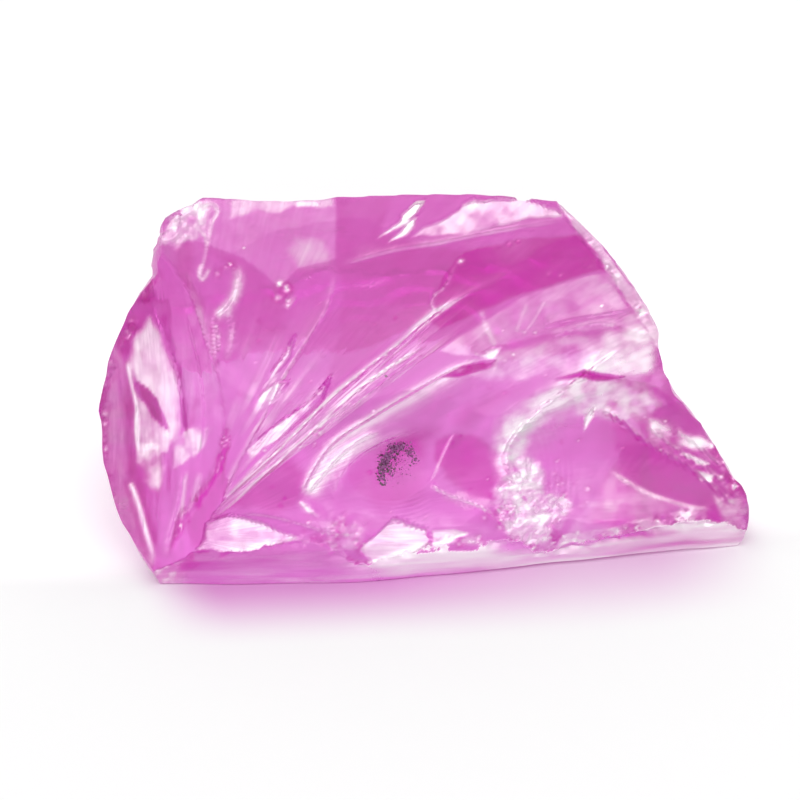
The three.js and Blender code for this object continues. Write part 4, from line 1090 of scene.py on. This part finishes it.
darkGrains = {  # small broken grains sealed in the stone
    "clusters": [  # across, up and into the front face; count, spread, size
        ((-3.0, 4.9, -1.1), 60, (0.2, 0.32, 0.2), 0.17), ((-2.75, 5.5, -1.1), 90, (0.24, 0.34, 0.2), 0.18),
        ((-2.3, 6.2, -1.05), 80, (0.26, 0.26, 0.2), 0.17), ((-1.8, 6.8, -1.0), 80, (0.3, 0.2, 0.2), 0.16),
        ((-1.3, 6.9, -1.0), 70, (0.3, 0.16, 0.2), 0.15), ((-0.7, 6.5, -1.0), 44, (0.2, 0.22, 0.2), 0.13),
        ((-0.4, 5.9, -1.0), 26, (0.14, 0.2, 0.2), 0.12), ((-1.8, 5.5, -1.2), 160, (0.8, 0.7, 0.3), 0.07),
        ((-2.2, 5.3, -1.1), 40, (0.16, 0.4, 0.2), 0.12), ((-2.1, 12.3, -0.6), 1, (0.02, 0.02, 0.02), 0.3),
    ],
    "seed": 61,
    "flat": 0.5,
    "colours": ((0.16, 0.03, 0.14, 1), (0.5, 0.17, 0.44, 1)),
    "corners": [(0, 0, -1), (0.72, -0.53, -0.45), (-0.28, -0.85, -0.45), (-0.89, 0, -0.45), (-0.28, 0.85, -0.45),
                (0.72, 0.53, -0.45), (0.28, -0.85, 0.45), (-0.72, -0.53, 0.45), (-0.72, 0.53, 0.45),
                (0.28, 0.85, 0.45), (0.89, 0, 0.45), (0, 0, 1)],
    "sides": [(0, 1, 2), (1, 0, 5), (0, 2, 3), (0, 3, 4), (0, 4, 5), (1, 5, 10), (2, 1, 6), (3, 2, 7), (4, 3, 8),
              (5, 4, 9), (1, 10, 6), (2, 6, 7), (3, 7, 8), (4, 8, 9), (5, 9, 10), (6, 10, 11), (7, 6, 11), (8, 7, 11),
              (9, 8, 11), (10, 9, 11)],
}


def makeGrains():
    rng = np.random.default_rng(darkGrains["seed"])
    points = []
    rings = []
    for spot, count, spread, size in darkGrains["clusters"]:
        for _ in range(count):
            centre = np.array(spot) + rng.normal(0, 1, 3) * np.array(spread)
            radius = size * rng.uniform(0.35, 1.0)
            spin = np.linalg.qr(rng.normal(0, 1, (3, 3)))[0]
            shape = np.array(darkGrains["corners"]) * rng.uniform(0.6, 1.2, (12, 1))
            shape = shape * (1, rng.uniform(0.5, 1), darkGrains["flat"])
            first = len(points)
            if np.linalg.det(spin) < 0:
                spin[0] = -spin[0]
            for corner in shape @ spin * radius:
                points.append(toFrame(onFace(*centre) + corner))
            rings += [tuple(first + index for index in side) for side in darkGrains["sides"]]
    shape = bpy.data.meshes.new("darkGrains")
    shape.from_pydata(points, [], rings)
    made = bpy.data.objects.new("darkGrains", shape)
    bpy.context.scene.collection.objects.link(made)
    return made


def darkMaterial():
    material, bench, shader = newMaterial("darkGrain")
    where = bench.add("ShaderNodeTexCoord")["Object"]
    grainy = bench.add("ShaderNodeTexNoise", {}, {"Vector": where, "Scale": 2500.0, "Detail": 3.0})["Fac"]
    colour = bench.add("ShaderNodeMix", {"data_type": "RGBA"}, {
        "Factor": grainy, "A": darkGrains["colours"][0], "B": darkGrains["colours"][1]})["Result"]
    bench.feed(shader.inputs["Base Color"], colour)
    bench.feed(shader.inputs["Roughness"], 0.45 + 0.3 * grainy)
    return material


flecks = makeGrains()
flecks.data.materials.append(darkMaterial())
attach(flecks, "root")
print("grains sealed in")

mesh.materials.clear()
mesh.materials.append(crystalMaterial())
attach(crystal, "root")
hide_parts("crystal")
print("crystal finished")

scene = bpy.context.scene
studio = {
    "dome": 0.66,  # the soft light from everywhere
    "lobes": [  # axis, inner angle, outer angle, added radiance
        ((0, 0.85, 0.5), 15, 70, 0.25),
        ((-0.5, 0.65, 0.57), 6, 26, 0.4),
        ((0.45, 0.68, 0.57), 6, 26, 0.4),
        ((0.1, -0.35, 0.93), 6, 30, 0.62),
        ((0.18, -0.72, 0.67), 8, 50, 0.4),
        ((-0.66, -0.52, 0.54), 10, 30, 0.7),
        ((0.9, 0.1, 0.4), 8, 28, 0.4),
        ((0, 0.1, 1), 10, 55, 0.3),
    ],
    "paperGlow": 1.02,  # how bright open paper looks, where 1 is white
    "glowPatch": ((20.0, 25.0), (10.0, 16.5)),  # a glowing patch of paper under the stone, painted light: flat and edge half sizes, millimetres
    "glowPatchShift": 4.5,
    "glowPatchStrength": 0.5,
    "glowPatchTint": (1.0, 0.93, 0.98, 1),
    "glowHalo": ((26.0, 48.0), (24.0, 42.0)),  # a fainter painted glow on the paper round and behind the stone, lifting its shade
    "glowHaloPart": 0.45,  # of the glow patch's own glow
    "frontEdge": (0.00204, 0.10288, 1.49),  # the stone's foot, curving gently across the paper
    "paintedShadowTint": (0.79, 0.34, 0.71, 1),  # painted pink shadow: the light through the stone, painted into the paper's colour before it
    "paintedShadowReach": ((-4.0, 7.4), (13.0, 8.8)),  # how far out it fades: across, millimetres
    "paintedShadowPart": ((-3.0, 1.0), (11.0, 0.65)),  # how strong it is: across, part
    "paintedShadowEnds": ((-15.5, -22.5), (17.0, 28.0)),  # where it is full and where it ends, left and right
}


def skyAt(direction):
    total = studio["dome"]
    for axis, innerAngle, outerAngle, radiance in studio["lobes"]:
        inner, outer = math.cos(math.radians(innerAngle)), math.cos(math.radians(outerAngle))
        k = np.clip((direction @ unit(axis) - outer) / (inner - outer), 0, 1)
        total = total + radiance * k ** 3 * (k * (6 * k - 15) + 10)
    return total


def paperAlbedo():  # the paper's own brightness that the studio's light turns into white
    rng = np.random.default_rng(5)
    u, v = rng.uniform(0, 1, (2, 40000))
    radius, turn = np.sqrt(u), 2 * math.pi * v
    direction = np.stack([radius * np.cos(turn), radius * np.sin(turn), np.sqrt(1 - u)], -1)
    return studio["paperGlow"] / skyAt(direction).mean()


def eased(bench, value, full, none):  # 1 at full and beyond it, easing to 0 at none
    return bench.add("ShaderNodeMapRange", {"interpolation_type": "SMOOTHSTEP"}, {
        "Value": value, "From Min": none, "From Max": full, "To Min": 0.0, "To Max": 1.0})["Result"]


def between(bench, value, left, right):  # a straight run from one place and value to another
    return bench.add("ShaderNodeMapRange", {}, {
        "Value": value, "From Min": left[0], "From Max": right[0], "To Min": left[1], "To Max": right[1]})["Result"]


def softBox(bench, away, sizes):  # 1 over the middle of the paper, easing to 0 on all sides
    box = 1.0
    for axis, (flat, edge) in zip("XY", sizes):
        off = bench.add("ShaderNodeMath", {"operation": "ABSOLUTE"}, {0: away[axis]})["Value"]
        box = box * eased(bench, off, flat * mm, edge * mm)
    return box


def paper():
    side = 3.0
    made = meshFrom("table", [(-side, -side, 0), (side, -side, 0), (side, side, 0), (-side, side, 0)],
                    np.array([(0, 1, 2, 3)]))
    made.location.z = cadBox[0].z - 0.00002
    material, bench, shader = newMaterial("paperWithPaintedLight")
    grey = min(0.95, paperAlbedo())
    print("paper albedo", round(grey, 3))
    where = bench.add("ShaderNodeTexCoord")["Object"]
    fleck = bench.add("ShaderNodeTexNoise", {}, {"Vector": where, "Scale": 900.0, "Detail": 2.0})["Fac"]
    plain = bench.add("ShaderNodeMix", {"data_type": "RGBA"}, {
        "Factor": fleck, "A": (grey, grey, grey, 1), "B": (grey * 0.995, grey * 0.995, grey * 0.995, 1)})["Result"]

    # painted shadow: a pink tint on the paper before the stone's foot, fading outwards, in place of the light through
    # the stone
    spot = bench.add("ShaderNodeSeparateXYZ", {}, {"Vector": where})
    across = (spot["X"] - lumpZero.x) * (1 / mm)
    bend, slope, start = studio["frontEdge"]
    ahead = (across * bend + slope) * across + start - (spot["Y"] - lumpZero.y) * (1 / mm)
    near = between(bench, across, *((place, 1 / reach) for place, reach in studio["paintedShadowReach"]))
    leftEnd, rightEnd = studio["paintedShadowEnds"]
    pink = between(bench, across, *studio["paintedShadowPart"])
    for value, full, none in ((ahead * near, 0.0, 1.0), (ahead, 0.0, -2.5), (across, *rightEnd),
                              (across - 0.35 * ahead, *leftEnd)):
        pink = pink * eased(bench, value, full, none)
    colour = bench.add("ShaderNodeMix", {"data_type": "RGBA", "blend_type": "MULTIPLY"}, {
        "Factor": pink, "A": plain, "B": studio["paintedShadowTint"]})["Result"]

    # painted light: the paper itself glows under the stone and, fainter, round and behind it
    offset = bench.add("ShaderNodeVectorMath", {"operation": "SUBTRACT"}, {
        0: where, 1: (middle.x, middle.y + studio["glowPatchShift"] * mm, 0)})["Vector"]
    away = bench.add("ShaderNodeSeparateXYZ", {}, {"Vector": offset})
    glowPatch = softBox(bench, away, studio["glowPatch"])
    glowHalo = softBox(bench, away, studio["glowHalo"]) * eased(bench, ahead, -4.0, 0.5)
    glowPatch = glowPatch + glowHalo * (1 - glowPatch) * studio["glowHaloPart"]
    glowColour = bench.add("ShaderNodeMix", {"data_type": "RGBA"}, {
        "Factor": glowPatch, "A": (0, 0, 0, 1), "B": studio["glowPatchTint"]})["Result"]
    bench.feed(shader.inputs["Base Color"], colour)
    bench.feed(shader.inputs["Emission Color"], glowColour)
    bench.feed(shader.inputs["Emission Strength"], studio["glowPatchStrength"])
    bench.feed(shader.inputs["Roughness"], 0.9)
    bench.feed(shader.inputs["Specular IOR Level"], 0.0)
    made.data.materials.append(material)


def light():
    world = bpy.data.worlds.new("studio")
    scene.world = world
    world.use_nodes = True
    bench = Bench(world.node_tree)
    way = bench.add("ShaderNodeTexCoord")["Generated"]
    strength = studio["dome"]
    for axis, innerAngle, outerAngle, radiance in studio["lobes"]:
        dot = bench.add("ShaderNodeVectorMath", {"operation": "DOT_PRODUCT"}, {0: way, 1: tuple(unit(axis))})["Value"]
        lobe = bench.add("ShaderNodeMapRange", {"interpolation_type": "SMOOTHERSTEP"}, {
            "Value": dot,
            "From Min": math.cos(math.radians(outerAngle)),
            "From Max": math.cos(math.radians(innerAngle)),
            "To Min": 0.0,
            "To Max": radiance,
        })["Result"]
        strength = strength + lobe
    seen = bench.add("ShaderNodeLightPath")["Is Camera Ray"]
    strength = bench.add("ShaderNodeMix", {"data_type": "FLOAT"}, {"Factor": seen, "A": strength, "B": 1.0})["Result"]
    background = world.node_tree.nodes["Background"]
    bench.feed(background.inputs["Color"], (1, 1, 1, 1))
    bench.feed(background.inputs["Strength"], strength)


view = {  # millimetres and degrees
    "target": (-2.0, 10.0, 10.4),
    "elevation": 35.0,
    "distance": 171.0,
    "lens": 100,
    "sensor": 36,
}


def aim():
    camera = bpy.data.cameras.new("camera")
    camera.lens = view["lens"]
    camera.sensor_width = view["sensor"]
    camera.clip_start = 0.001
    camera.clip_end = 20
    rise = math.radians(view["elevation"])
    back = Vector((0, -math.cos(rise), math.sin(rise)))
    made = bpy.data.objects.new("camera", camera)
    made.location = toFrame(view["target"]) + back * view["distance"] * mm
    made.rotation_euler = (-back).to_track_quat("-Z", "Y").to_euler()
    scene.collection.objects.link(made)
    scene.camera = made


paper()
light()
aim()
scene.view_settings.view_transform = "Standard"
scene.cycles.max_bounces = 24
scene.cycles.transmission_bounces = 24
scene.cycles.glossy_bounces = 12
scene.cycles.diffuse_bounces = 4
scene.cycles.transparent_max_bounces = 16
scene.cycles.volume_bounces = 0
scene.cycles.sample_clamp_indirect = 12
scene.cycles.blur_glossy = 0.3
scene.cycles.use_denoising = True
print("studio set")
